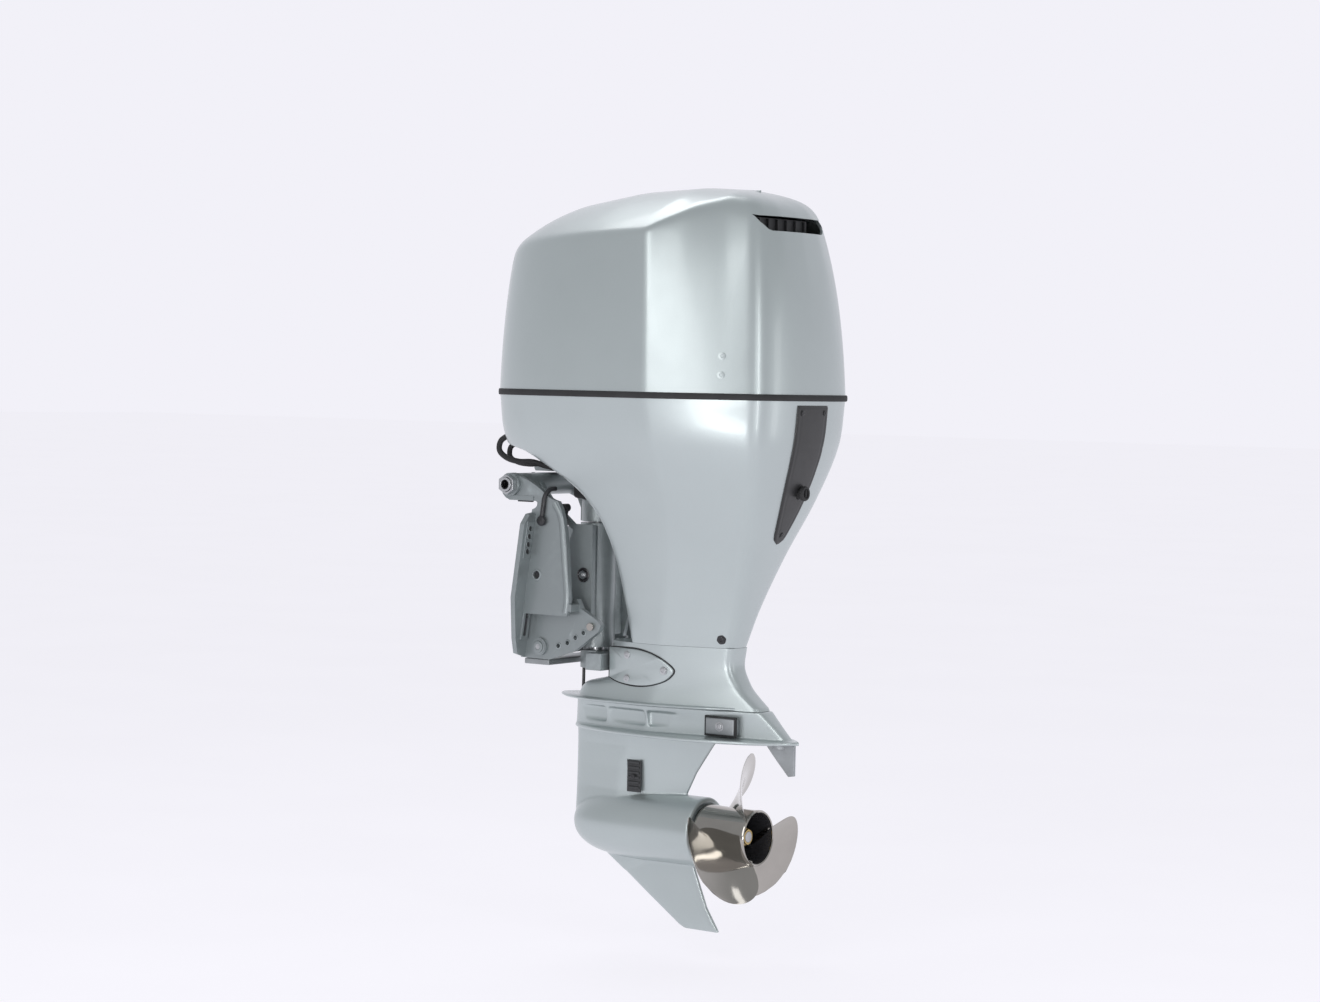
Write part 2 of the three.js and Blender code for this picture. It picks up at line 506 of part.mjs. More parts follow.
// ---------------------------------------------------------------- steering
const yokeTop = slab([[-113, -43], [-35, -43], [-35, -14], [2, 66], [96, 66], [100, 72], [96, 80], [-8, 80],
  [-46, 6], [-184, 6], [-184, -43]], -17, 17);
part(engine, 'steering_arm', carve([yokeTop, rod('z', -43, 6, SWIVEL_X, 0, 39, 24), box(-184, -110, -44, 44, -43, 6)], [
  rod('z', -50, 10, SWIVEL_X, 0, 18.3, 20), rod('z', 60, 90, 82, 0, 6.5, 12)]), castSilver);
part(engine, 'pilot_shaft', rod('z', -376, 5, SWIVEL_X, 0, 18, 20), steel);
part(engine, 'lower_yoke', carve([
  rod('z', -374, -334, SWIVEL_X, 0, 36, 24), box(-138, -74, -30, 30, -374, -334),
  box(-139, -98, 31.5, 73, -374, -336), box(-139, -98, -73, -31.5, -374, -336), box(-139, -98, -60, 60, -370, -340)],
[rod('z', -380, -330, SWIVEL_X, 0, 18.3, 20)]), castSilver);

// ---------------------------------------------------------------- swivel bracket
const armSide = [[-60, -62], [-36, -120], [-30, -250], [-62, -306], [-100, -306], [-114, -250], [-114, -48], [-60, -48],
  [0, 0], [36, 44], [60, 64], [86, 40], [62, 14], [30, 2]];
const swivelSides = SIDES.map(([, sign]) => slab(armSide, sign > 0 ? 66 : -78, sign > 0 ? 78 : -66));
const swivelWeb = SIDES.map(([, sign]) => box(-96, -60, sign > 0 ? 20 : -70, sign > 0 ? 70 : -20, -300, -52));
const pivotLugs = SIDES.map(([, sign]) => slab([[-60, -100], [-60, -50], [2, -58], [10, -75], [2, -90]],
  sign > 0 ? 17 : -29, sign > 0 ? 29 : -17));
part(swivel, 'swivel_case', carve([
  rod('z', -326, -46, SWIVEL_X, 0, 41, 28), rod('y', -136, 136, TILT.x, TILT.z, 25, 24),
  ...swivelSides, ...swivelWeb, ...pivotLugs,
], [
  rod('z', -330, -40, SWIVEL_X, 0, 23, 24), rod('y', -140, 140, TILT.x, TILT.z, 17, 16),
]), castSilver);
const bushing = (z0, z1) => carve([rod('z', z0, z1, SWIVEL_X, 0, 22.7, 24)], [rod('z', z0 - 5, z1 + 5, SWIVEL_X, 0, 18.3, 20)]);
part(swivel, 'swivel_bushing_upper', bushing(-90, -46.3), blackPlastic);
part(swivel, 'swivel_bushing_lower', bushing(-325.7, -280), blackPlastic);
part(swivel, 'grease_fitting', carve([rod('y', 78.3, 84, -92, -161, 10, 6), rod('y', 84, 92, -92, -161, 4, 10)]), brass);
part(swivel, 'tilt_lock_lever', carve([
  slab([[-50, -14], [-38, -8], [-22, -46], [-30, -58], [-42, -54]], 82, 90),
  rod('y', 78.3, 96, -44, -12, 9, 14), rod('y', 90, 112, -31, -50, 11, 16)]), blackPlastic);

// ---------------------------------------------------------------- stern bracket
const plane = (z) => -z * Math.tan(RAKE);
const upperWeb = (() => {
  const shape = new THREE.Shape();
  shape.moveTo(plane(-250), -250);
  shape.lineTo(plane(-16), -16);
  shape.quadraticCurveTo(-14, -12, -12, 0);
  shape.lineTo(-8, 3);
  shape.lineTo(66, 3);
  shape.quadraticCurveTo(92, 10, 91, 38);
  shape.quadraticCurveTo(88, 62, 61, 63);
  shape.quadraticCurveTo(10, 52, -26, 26);
  shape.quadraticCurveTo(-40, 10, -70, 4);
  shape.quadraticCurveTo(-89, -20, -96, -95);
  shape.lineTo(-106, -213);
  shape.lineTo(-100, -250);
  return shape;
})();
const lowerWeb = [[plane(-205), -205], [-106, -213], [-118, -234], [-160, -256], [-172, -268], [-166, -282],
  [-100, -330], [-31, -353], [plane(-350), -352]];
const STOP_HOLES = [[-56, -320], [-81, -312], [-103, -299], [-125, -287], [-146, -272]];
const FLANGE_BOLTS = [-58, -76, -94, -110];
const FLANGE_T = 12;
// Drawn in y and z on the transom's face, then laid back by the rake.
function flange(sign) {
  const edge = [[126, -20], [172, -26], [187, -48], [187, -215], [164, -310], [150, -345], [126, -352], [104, -352],
    [104, -205], [126, -200]];
  const shape = new THREE.Shape(edge.map(([y, z]) => v2(sign * y, z)));
  const hole = (y, z, r) => {
    const path = new THREE.Path();
    path.absarc(sign * y, z, r, 0, 2 * Math.PI, sign < 0);
    shape.holes.push(path);
  };
  for (const z of FLANGE_BOLTS) hole(163.5, z, 6.5);
  const slot = new THREE.Path();
  slot.absarc(sign * 137, -248, 6.5, 0, Math.PI, false);
  slot.absarc(sign * 137, -304, 6.5, Math.PI, 2 * Math.PI, false);
  slot.closePath();
  shape.holes.push(slot);
  return bar(shape, -FLANGE_T, 0).rotateY(-RAKE);
}
for (const [side, sign] of SIDES) {
  const across = (a, b) => (sign > 0 ? [a, b] : [-b, -a]);
  const [u0, u1] = across(138, 150);
  const [l0, l1] = across(106, 120);
  const [s0, s1] = across(106, 150);
  const step = slab([[plane(-200), -200], [plane(-216), -216], [-112, -240], [-112, -224]], s0, s1);
  const cuts = [
    rod('y', ...across(100, 200), TILT.x, TILT.z, 17, 16),
    rod('y', ...across(100, 160), -14, -162, 9, 12),
    rod('y', ...across(100, 130), LOWER_PIVOT.x, LOWER_PIVOT.z, 12.5, 16),
    ...STOP_HOLES.map(([x, z]) => rod('y', ...across(100, 130), x, z, 5, 8)),
  ];
  const geometry = carve([
    slab(upperWeb, u0, u1), slab(lowerWeb, l0, l1), step, flange(sign),
    rod('y', ...across(137, 158), TILT.x, TILT.z, 26, 20),
    rod('y', ...across(118, 126), LOWER_PIVOT.x, LOWER_PIVOT.z, 20, 20),
    box(-2, 66, ...across(136, 152), 3, 14),
  ], cuts);
  part(bracket, `clamp_bracket_${side}`, geometry, silver);
  const nut = carve([rod('y', ...across(158.3, 172), TILT.x, TILT.z, 23, 6)],
    [rod('y', ...across(150, 180), TILT.x, TILT.z, 16.5, 16)]);
  part(bracket, `tilt_tube_nut_${side}`, nut, steel);
  part(bracket, `hook_pad_${side}`, box(6, 44, ...across(139, 149), -0.1, 2.7), blackRubber);
}
part(bracket, 'tilt_tube', carve([rod('y', -176, 176, TILT.x, TILT.z, 16, 16)],
  [rod('y', -180, 180, TILT.x, TILT.z, 11, 12)]), steel);
part(bracket, 'lower_cross_tube', rod('y', -130, 130, LOWER_PIVOT.x, LOWER_PIVOT.z, 12, 16), steel);
const [PIN_X, PIN_Z] = STOP_HOLES[4];
part(bracket, 'tilt_stop_pin', carve([
  rod('y', 98, 127, PIN_X, PIN_Z, 4.6, 12), rod('y', 98, 102, PIN_X, PIN_Z, 8, 12), rod('y', 120.3, 127, PIN_X, PIN_Z, 9, 16)]),
stainless);
part(bracket, 'bracket_anode', box(-28, 40, -118, 118, -366, -353.5), zinc);

// ---------------------------------------------------------------- tilt cylinder
const CYLINDER = { radius: 22, bore: 11, top: 205 };
const lean = Math.atan2(UPPER_PIVOT.x - LOWER_PIVOT.x, UPPER_PIVOT.z - LOWER_PIVOT.z);
const ram = new THREE.Group();
ram.position.set(LOWER_PIVOT.x, 0, LOWER_PIVOT.z);
ram.rotation.y = lean;
bracket.add(ram);
const RAM_LENGTH = Math.hypot(UPPER_PIVOT.x - LOWER_PIVOT.x, UPPER_PIVOT.z - LOWER_PIVOT.z);
part(ram, 'tilt_cylinder', carve([
  rod('z', 10, CYLINDER.top, 0, 0, CYLINDER.radius, 24), rod('y', -20, 20, 0, 0, 20, 20)], [
  rod('z', 30, CYLINDER.top + 5, 0, 0, CYLINDER.bore, 20), rod('y', -30, 30, 0, 0, 12.3, 20)]), blackPlastic);
part(ram, 'tilt_rod', carve([
  rod('z', 40, RAM_LENGTH, 0, 0, 10, 18), rod('y', -14, 14, 0, RAM_LENGTH, 15, 20)]), stainless);
part(ram, 'tilt_pump_motor', carve([
  rod('z', 22, 118, 0, 56, 25, 24), rod('z', 118, 150, 0, 56, 18, 20), box(-12, 12, 22.5, 36, 40, 100)]), blackPlastic);

// ---------------------------------------------------------------- hoses and latch
const HOSE_ROUTES = {
  fuel_hose: [[116, 96, 146], [136, 97, 132], [138, 98, 112], [118, 98, 96], [84, 97, 88], [46, 94, 88], [12, 88, 80],
    [-18, 80, 74]],
  battery_cable: [[110, 60, 134], [134, 62, 118], [132, 66, 98], [108, 70, 86], [70, 72, 82], [34, 70, 84], [4, 64, 78],
    [-20, 58, 70]],
};
const HOSE_R = { fuel_hose: 6.5, battery_cable: 6 };
for (const [name, route] of Object.entries(HOSE_ROUTES)) {
  const path = new THREE.CatmullRomCurve3(route.map((p) => v3(...p)));
  const ring = new THREE.Shape();
  ring.absarc(0, 0, HOSE_R[name], 0, 2 * Math.PI, false);
  const tube = new THREE.ExtrudeGeometry(ring, { steps: 16, curveSegments: 4, bevelEnabled: false, extrudePath: path });
  const cover = solid(bell(COVER_SECTIONS, SEAM_Z, -60, 15, -GAP)).intersect(solid(slab(coverEdge(-GAP), -320, 320)));
  part(engine, name, geometryOf(solid(tube).subtract(cover)), blackRubber);
}

export default motor;
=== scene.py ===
# Outboard motor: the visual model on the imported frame.
# Shapes are worked out in millimetres in the row frame and turned into metres when a mesh is made.
import json
import math
import bmesh
import bpy
import numpy as np
from mathutils import Matrix, Vector


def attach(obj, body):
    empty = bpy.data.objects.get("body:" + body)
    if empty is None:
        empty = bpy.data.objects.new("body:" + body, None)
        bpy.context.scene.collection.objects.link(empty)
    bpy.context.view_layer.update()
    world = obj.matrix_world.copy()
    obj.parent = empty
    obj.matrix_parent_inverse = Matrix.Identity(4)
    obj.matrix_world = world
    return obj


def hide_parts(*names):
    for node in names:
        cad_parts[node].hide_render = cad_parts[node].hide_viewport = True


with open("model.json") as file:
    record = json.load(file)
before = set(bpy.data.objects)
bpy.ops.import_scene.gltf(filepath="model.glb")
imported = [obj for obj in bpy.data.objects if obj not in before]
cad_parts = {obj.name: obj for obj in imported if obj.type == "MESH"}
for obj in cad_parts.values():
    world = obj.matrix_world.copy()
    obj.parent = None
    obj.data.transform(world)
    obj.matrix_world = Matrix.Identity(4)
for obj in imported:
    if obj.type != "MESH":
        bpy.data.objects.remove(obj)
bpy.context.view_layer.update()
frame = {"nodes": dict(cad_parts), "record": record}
BODY_OF = {node: body for body, nodes in frame["record"]["behaviour"]["bodies"].items() for node in nodes}
MM = 0.001

# ---------------------------------------------------------------- driving sizes, mm
RAKE = math.radians(8)
PROP_Z = -719
SEAM_Z = 246
SEAM_HALF = 4
WALL = 6
GAP = 0.3
COVER_FOOT = -305
LEG_FOOT = -440
PLATE_Z = -500
BULLET_R = 77
BULLET_AFT = -385
HUB_FRONT, HUB_AFT, HUB_R, HUB_BORE = -388, -524, 61, 57
PROP_R = 184
PROP_PITCH = 430
BLADE_ANGLES = (-33, 87, 207)
PLUG_Y, PLUG_Z, PLUG_R = -12, 39, 12
SECTION_NAMES = ("front", "wide", "wideX", "cornerX", "cornerY", "aft")
COVER_SECTIONS = (
    (246, 138, 275, -380, -612, 180, -641), (140, 128, 248, -383, -602, 172, -629),
    (20, 62, 176, -370, -571, 132, -592), (-100, -20, 118, -345, -528, 84, -542),
    (-220, -90, 90, -320, -486, 51, -495), (-305, -115, 78, -300, -462, 36, -467),
)
LEG_SECTIONS = (
    (-305, -140, 77, -300, -462, 36, -467), (-350, -138, 75, -295, -460, 33, -464),
    (-386, -132, 74, -286, -477, 31, -482), (-404, -66, 75, -280, -492, 30, -497),
    (-440, -42, 82, -265, -534, 27, -540),
)
HEAD_SECTIONS = (
    (-440, -42, 82, -265, -534, 27, -540),
    (-470, -38, 72, -265, -566, 20, -570),
    (-500, -36, 70, -265, -596, 16, -602),
)
COVER_EDGE = ((246, 200), (190, 190), (156, 165), (142, 143), (132, 118), (125, 84), (116, 34), (103, 2),
              (85, -32), (50, -92), (14, -133), (-26, -160), (-116, -184), (-213, -201), (-330, -220))
HOSES = {
    "fuel_hose": (6.5, ((116, 96, 146), (136, 97, 132), (138, 98, 112), (118, 98, 96), (84, 97, 88),
                        (46, 94, 88), (12, 88, 80), (-18, 80, 74))),
    "battery_cable": (6.0,
                      ((110, 60, 134), (134, 62, 118), (132, 66, 98), (108, 70, 86), (70, 72, 82),
                       (34, 70, 84), (4, 64, 78), (-20, 58, 70))),
}


# ---------------------------------------------------------------- materials
def shader(name, color, roughness, metallic=0.0):
    material = bpy.data.materials.new(name)
    material.use_nodes = True
    surface = material.node_tree.nodes["Principled BSDF"]
    surface.inputs["Base Color"].default_value = (*color, 1)
    surface.inputs["Roughness"].default_value = roughness
    surface.inputs["Metallic"].default_value = metallic
    return material, material.node_tree, surface


def noise(tree, scale, detail=4.0, stretch=None):
    coords = tree.nodes.new("ShaderNodeTexCoord")
    texture = tree.nodes.new("ShaderNodeTexNoise")
    texture.inputs["Scale"].default_value = scale
    texture.inputs["Detail"].default_value = detail
    if stretch:
        mapping = tree.nodes.new("ShaderNodeMapping")
        mapping.inputs["Scale"].default_value = stretch
        tree.links.new(coords.outputs["Object"], mapping.inputs["Vector"])
        tree.links.new(mapping.outputs["Vector"], texture.inputs["Vector"])
    else:
        tree.links.new(coords.outputs["Object"], texture.inputs["Vector"])
    return texture.outputs["Fac"]


def ramp(tree, value, low, high, dark, light):
    node = tree.nodes.new("ShaderNodeValToRGB")
    node.color_ramp.elements[0].position = low
    node.color_ramp.elements[1].position = high
    node.color_ramp.elements[0].color = (*dark, 1)
    node.color_ramp.elements[1].color = (*light, 1)
    tree.links.new(value, node.inputs["Fac"])
    return node.outputs["Color"]


def spread(tree, value, low, high):
    node = tree.nodes.new("ShaderNodeMapRange")
    node.inputs["To Min"].default_value = low
    node.inputs["To Max"].default_value = high
    tree.links.new(value, node.inputs["Value"])
    return node.outputs["Result"]


def over(tree, amount, below, above):
    node = tree.nodes.new("ShaderNodeMix")
    node.data_type = "RGBA"
    tree.links.new(amount, node.inputs["Factor"])
    tree.links.new(below, node.inputs[6])
    tree.links.new(above, node.inputs[7])
    return node.outputs[2]


def bumps(tree, surface, heights):
    normal = None
    for value, strength, distance in heights:
        node = tree.nodes.new("ShaderNodeBump")
        node.inputs["Strength"].default_value = strength
        node.inputs["Distance"].default_value = distance
        tree.links.new(value, node.inputs["Height"])
        if normal:
            tree.links.new(normal, node.inputs["Normal"])
        normal = node.outputs["Normal"]
    tree.links.new(normal, surface.inputs["Normal"])


def tone(color, factor):
    return tuple(min(1.0, c * factor) for c in color)


def edges(tree, low=0.53, high=0.6):
    geometry = tree.nodes.new("ShaderNodeNewGeometry")
    return ramp(tree, geometry.outputs["Pointiness"], low, high, (0, 0, 0), (1, 1, 1))


def paint(name, color, roughness=0.34, metallic=0.62, coat=0.45, grain=0.0, worn=0.0):
    material, tree, surface = shader(name, color, roughness, metallic)
    cloud = noise(tree, 7.0, 3)
    flake = noise(tree, 900.0, 2)
    base = ramp(tree, cloud, 0.3, 0.7, tone(color, 0.975), tone(color, 1.02))
    sparkle = ramp(tree, flake, 0.35, 0.75, tone(color, 0.93), tone(color, 1.05))
    mixed = over(tree, spread(tree, flake, 0.3, 0.6), base, sparkle)
    if worn:
        bright = ramp(tree, noise(tree, 60.0, 5), 0.4, 0.7, tone(color, 1.0), tone(color, 1.0 + worn))
        mixed = over(tree, edges(tree), mixed, bright)
    tree.links.new(mixed, surface.inputs["Base Color"])
    tree.links.new(spread(tree, noise(tree, 24.0, 5), roughness - 0.04, roughness + 0.06),
                   surface.inputs["Roughness"])
    surface.inputs["Coat Weight"].default_value = coat
    surface.inputs["Coat Roughness"].default_value = 0.09
    heights = [(noise(tree, 55.0, 2), 0.05, 0.0004)]
    if grain:
        heights.append((noise(tree, 420.0, 4), grain, 0.0003))
    bumps(tree, surface, heights)
    return material


def moulded(name, color, roughness, grain=0.25, scale=650.0, dust=0.35):
    material, tree, surface = shader(name, color, roughness)
    dusty = ramp(tree, noise(tree, 18.0, 6), 0.42, 0.75, color, tone(color, 1 + dust))
    light = ramp(tree, noise(tree, 240.0, 3), 0.3, 0.7, tone(color, 1.15), tone(color, 1.7))
    tree.links.new(over(tree, edges(tree), dusty, light), surface.inputs["Base Color"])
    tree.links.new(spread(tree, noise(tree, 40.0, 5), roughness - 0.08, roughness + 0.1),
                   surface.inputs["Roughness"])
    bumps(tree, surface, [(noise(tree, scale, 3), grain, 0.0002)])
    return material


def metal(name, color, roughness, stretch=None, swing=0.06, grain=0.08, scale=120.0, stain=0.12):
    material, tree, surface = shader(name, color, roughness, 1.0)
    mottle = ramp(tree, noise(tree, 14.0, 6), 0.35, 0.7, tone(color, 1 - stain), tone(color, 1 + stain / 2))
    tree.links.new(mottle, surface.inputs["Base Color"])
    streak = noise(tree, scale, 5, stretch)
    tree.links.new(spread(tree, streak, max(0.04, roughness - swing), roughness + swing),
                   surface.inputs["Roughness"])
    bumps(tree, surface, [(streak, grain, 0.0001)])
    return material


SILVER = (0.472, 0.522, 0.524)
MAT = {
    "silver": paint("silver_paint", SILVER),
    "cast_silver": paint("cast_silver_paint", (0.33, 0.365, 0.37), 0.42, 0.55, 0.25, grain=0.3, worn=0.25),
    "bracket": paint("bracket_paint", (0.27, 0.3, 0.305), 0.38, 0.58, 0.3, grain=0.12, worn=0.35),
    "rubber": moulded("black_rubber", (0.018, 0.018, 0.019), 0.72, 0.35, 480.0),
    "plastic": moulded("black_plastic", (0.03, 0.031, 0.033), 0.5, 0.2, 900.0, 0.25),
    "panel": moulded("dark_grey_panel", (0.02, 0.02, 0.021), 0.36, 0.25, 1100.0, 0.2),
    "black_paint": moulded("black_paint", (0.02, 0.02, 0.022), 0.28, 0.05, 90.0, 0.3),
    "stainless": metal("polished_stainless", (0.42, 0.4, 0.37), 0.1, (1, 1, 14), 0.04, 0.04, 40.0, 0.06),
    "steel": metal("bright_steel", (0.52, 0.53, 0.54), 0.3, (1, 1, 9), 0.08, 0.1, 70.0),
    "zinc": metal("zinc_anode", (0.42, 0.44, 0.45), 0.55, None, 0.12, 0.5, 190.0, 0.2),
    "brass": metal("brass", (0.62, 0.46, 0.2), 0.3, None, 0.1, 0.12, 160.0, 0.25),
    "iron": metal("cast_iron", (0.12, 0.125, 0.13), 0.55, None, 0.1, 0.6, 260.0, 0.3),
    "white": paint("white_enamel", (0.72, 0.72, 0.7), 0.35, 0.0, 0.4),
}


# ---------------------------------------------------------------- making pieces
def dressed(piece, body, material, replaced):
    piece.data.materials.clear()
    piece.data.materials.append(MAT[material])
    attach(piece, body)
    if replaced:
        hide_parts(*replaced)
    return piece


def object_of(name, vertices, faces):
    """A new mesh object from points in millimetres."""
    mesh = bpy.data.meshes.new(name)
    mesh.from_pydata((np.asarray(vertices, float) * MM).tolist(), [], [list(map(int, f)) for f in faces])
    mesh.validate()
    piece = bpy.data.objects.new(name, mesh)
    bpy.context.scene.collection.objects.link(piece)
    return piece


def smooth(piece, angle=40):
    piece.data.shade_smooth()
    piece.data.set_sharp_from_angle(angle=math.radians(angle))


def tidy_mesh(piece, merge=1e-5, flatten=False):
    work = bmesh.new()
    work.from_mesh(piece.data)
    bmesh.ops.remove_doubles(work, verts=work.verts, dist=merge)
    if flatten:
        bmesh.ops.dissolve_limit(work, angle_limit=math.radians(1.0), verts=work.verts, edges=work.edges)
    bmesh.ops.recalc_face_normals(work, faces=work.faces)
    work.to_mesh(piece.data)
    work.free()


def settled(piece):
    """Applies the piece's modifiers to its mesh."""
    bpy.context.view_layer.update()
    graph = bpy.context.evaluated_depsgraph_get()
    mesh = bpy.data.meshes.new_from_object(piece.evaluated_get(graph), depsgraph=graph)
    piece.modifiers.clear()
    piece.data = mesh
    return piece


def bevelled(piece, width, segments=2, angle=32):
    modifier = piece.modifiers.new("edges", "BEVEL")
    modifier.width = width * MM
    modifier.segments = segments
    modifier.limit_method = "ANGLE"
    modifier.angle_limit = math.radians(angle)
    modifier.use_clamp_overlap = True
    return settled(piece)


def weigh(piece, angle=40):
    """Turns the normals of the broad faces flat, so that only the broken edges shade round."""
    smooth(piece, angle)
    modifier = piece.modifiers.new("normals", "WEIGHTED_NORMAL")
    modifier.keep_sharp = True
    modifier.weight = 80
    settled(piece)


def cut(piece, *cutters):
    for cutter in cutters:
        modifier = piece.modifiers.new("cut", "BOOLEAN")
        modifier.operation = "DIFFERENCE"
        modifier.solver = "EXACT"
        modifier.object = cutter
    settled(piece)
    for cutter in cutters:
        bpy.data.objects.remove(cutter)
    return piece


def joined(first, *others):
    """Adds the other meshes to the first and removes them."""
    work = bmesh.new()
    for piece in (first, *others):
        work.from_mesh(piece.data)
    work.to_mesh(first.data)
    work.free()
    for piece in others:
        bpy.data.objects.remove(piece)
    return first


def prism(name, outline, low, high, axis):
    """A drawn outline made solid along x, y or z. Its two numbers are the other two axes in order."""
    order = {"x": (2, 0, 1), "y": (0, 2, 1), "z": (0, 1, 2)}[axis]
    count = len(outline)
    points = [(u, v, w) for w in (low, high) for u, v in outline]
    vertices = [[p[k] for k in order] for p in points]
    faces = [list(range(count)), list(range(count, 2 * count))]
    faces += [[i, (i + 1) % count, (i + 1) % count + count, i + count] for i in range(count)]
    piece = object_of(name, vertices, faces)
    tidy_mesh(piece)
    return piece


def turned(name, profile, axis, centre, sides=48, wave=None):
    """A closed profile of (radius, along) pairs turned about an axis through a centre."""
    vertices, faces = [], []
    count = len(profile)
    for i in range(sides):
        angle = 2 * math.pi * i / sides
        for radius, along in profile:
            r = radius * (wave(angle) if wave and radius > 0 else 1)
            u, v = r * math.cos(angle), r * math.sin(angle)
            place = {"x": (along, u, v), "y": (v, along, u), "z": (u, v, along)}[axis]
            vertices.append([a + b for a, b in zip(place, centre)])
    for i in range(sides):
        j = (i + 1) % sides
        for k in range(count):
            m = (k + 1) % count
            faces.append([i * count + k, i * count + m, j * count + m, j * count + k])
    piece = object_of(name, vertices, faces)
    tidy_mesh(piece, 1e-6)
    return piece


def bolt(name, place, direction, radius, height, sides=6, washer=1.45):
    """A washer and a bolt head with a dished top, seated at a place and pointing along a direction."""
    head = turned(name, [(0, 0), (radius * washer, 0), (radius * washer, 0.22 * height),
                         (radius * 1.02, 0.3 * height), (radius, 0.88 * height), (radius * 0.86, height),
                         (radius * 0.5, height), (radius * 0.42, 0.72 * height), (0, 0.72 * height)], "z",
                         (0, 0, 0), sides * 4,
                  lambda a: 1 if sides == 24 else 1 - 0.06 * abs(math.cos(sides / 2 * a)))
    turn = Vector((0, 0, 1)).rotation_difference(Vector(direction)).to_matrix().to_4x4()
    head.data.transform(Matrix.Translation(Vector(place) * MM) @ turn)
    return head


def rounded_box(name, low, high, radius=2.0):
    x0, y0, z0 = low
    x1, y1, z1 = high
    piece = prism(name, [(x0, y0), (x1, y0), (x1, y1), (x0, y1)], z0, z1, "z")
    return bevelled(piece, radius, 3)


def refined(node, material, bevel=0.8, name=None, extra=(), finish=True):
    """A new piece with the CAD node's shape, its edges broken and its curves smooth."""
    source = frame["nodes"][node]
    piece = bpy.data.objects.new(name or f"{node}_detail", source.data.copy())
    bpy.context.scene.collection.objects.link(piece)
    tidy_mesh(piece, flatten=True)
    if bevel:
        bevelled(piece, bevel)
    weigh(piece)
    if extra:
        joined(piece, *extra)
    if finish:
        dressed(piece, BODY_OF[node], material, (node,))
    return piece


def finished(piece, material, node, replaced=None, angle=40):
    smooth(piece, angle)
    return dressed(piece, BODY_OF[node], material,
                           (node,) if replaced is None else replaced)


# ---------------------------------------------------------------- curves and sections
def bezier(points, count):
    t = np.linspace(0, 1, count)[:, None]
    p = [np.array(q, float) for q in points]
    if len(p) == 3:
        return (1 - t) ** 2 * p[0] + 2 * (1 - t) * t * p[1] + t ** 2 * p[2]
    return (1 - t) ** 3 * p[0] + 3 * (1 - t) ** 2 * t * p[1] + 3 * (1 - t) * t ** 2 * p[2] + t ** 3 * p[3]


def lengths(points):
    return np.concatenate([[0], np.cumsum(np.linalg.norm(np.diff(points, axis=0), axis=1))])


def at(points, where, along=None):
    along = lengths(points) if along is None else along
    return np.stack([np.interp(where, along, points[:, k]) for k in range(points.shape[1])], axis=1)


def rounded(points, radii, start, end, passes=2):
    """The line with its corners rounded: every point becomes the mean of the line within its radius."""
    radii = np.broadcast_to(np.asarray(radii, float), (len(points),))
    reach = max(4.0, float(radii.max()) * 1.2)
    for _ in range(passes):
        along = lengths(points)
        before = at(points, np.linspace(min(reach, along[-1] * 0.9), 0, 30, endpoint=False), along)
        after = at(points, np.linspace(along[-1], max(along[-1] - reach, along[-1] * 0.1), 31)[1:], along)
        line = np.vstack([start(before), points, end(after)])
        s = lengths(line)
        middle = s[30:30 + len(points)]
        area = np.concatenate([[np.zeros(line.shape[1])],
                               np.cumsum((line[1:] + line[:-1]) / 2 * np.diff(s)[:, None], axis=0)])
        r = np.clip(np.minimum(radii, reach * 0.98), 0.05, None)
        points = (at(area, middle + r, s) - at(area, middle - r, s)) / (2 * r)[:, None]
    return points


def across(line):
    return line * np.array([1, -1, 1])


def through(line_end):
    return lambda line: 2 * line_end - line


def stations(counts, bunch=0.75):
    """Positions 0..spans along a run of spans, closer together near each span's ends."""
    result = []
    for span, count in enumerate(counts):
        t = np.arange(count) / count
        result.append(span + t - bunch * np.sin(2 * math.pi * t) / (2 * math.pi))
    return np.concatenate([*result, [len(counts)]])


def section_at(table, z):
    """Section measures at a height, by a smooth curve through the table."""
    k = next((i for i, row in enumerate(table) if row[0] <= z), len(table) - 1)
    k = max(k, 1)
    upper, lower = table[k - 1], table[k]
    before, after = table[max(k - 2, 0)], table[min(k + 1, len(table) - 1)]
    span = lower[0] - upper[0]
    t = (z - upper[0]) / span
    h00, h10 = 2 * t ** 3 - 3 * t ** 2 + 1, t ** 3 - 2 * t ** 2 + t
    measures = {}
    for i, name in enumerate(SECTION_NAMES, start=1):
        m0 = (lower[i] - before[i]) / (lower[0] - before[0]) * span
        m1 = (after[i] - upper[i]) / (after[0] - upper[0]) * span
        measures[name] = h00 * upper[i] + h10 * m0 + (1 - h00) * lower[i] + (t ** 3 - t ** 2) * m1
    return measures


def half_outline(s, z, inset=0.0):
    """Port half of a section from the front centre to the aft centre, and where its creases are."""
    f, w = s["front"] - inset, s["wide"] - inset
    x, kx, ky, a = s["wideX"], s["cornerX"] + inset, s["cornerY"] - inset, s["aft"] + inset
    nose = bezier([(f, 0), (f, 0.73 * w), (f - 0.15 * (f - x), 0.78 * w), (x, w)], 90)
    side = bezier([(x, w), ((x + kx) / 2, (w + ky) / 2 + 0.05 * w), (kx, ky)], 60)
    stern = bezier([(kx, ky), (kx + (a - kx) * 0.8, 0.8 * ky), (a, 0.4 * ky), (a, 0)], 50)
    flat = np.vstack([nose, side[1:], stern[1:]])
    return np.column_stack([flat, np.full(len(flat), z)]), (89, 148, 197)


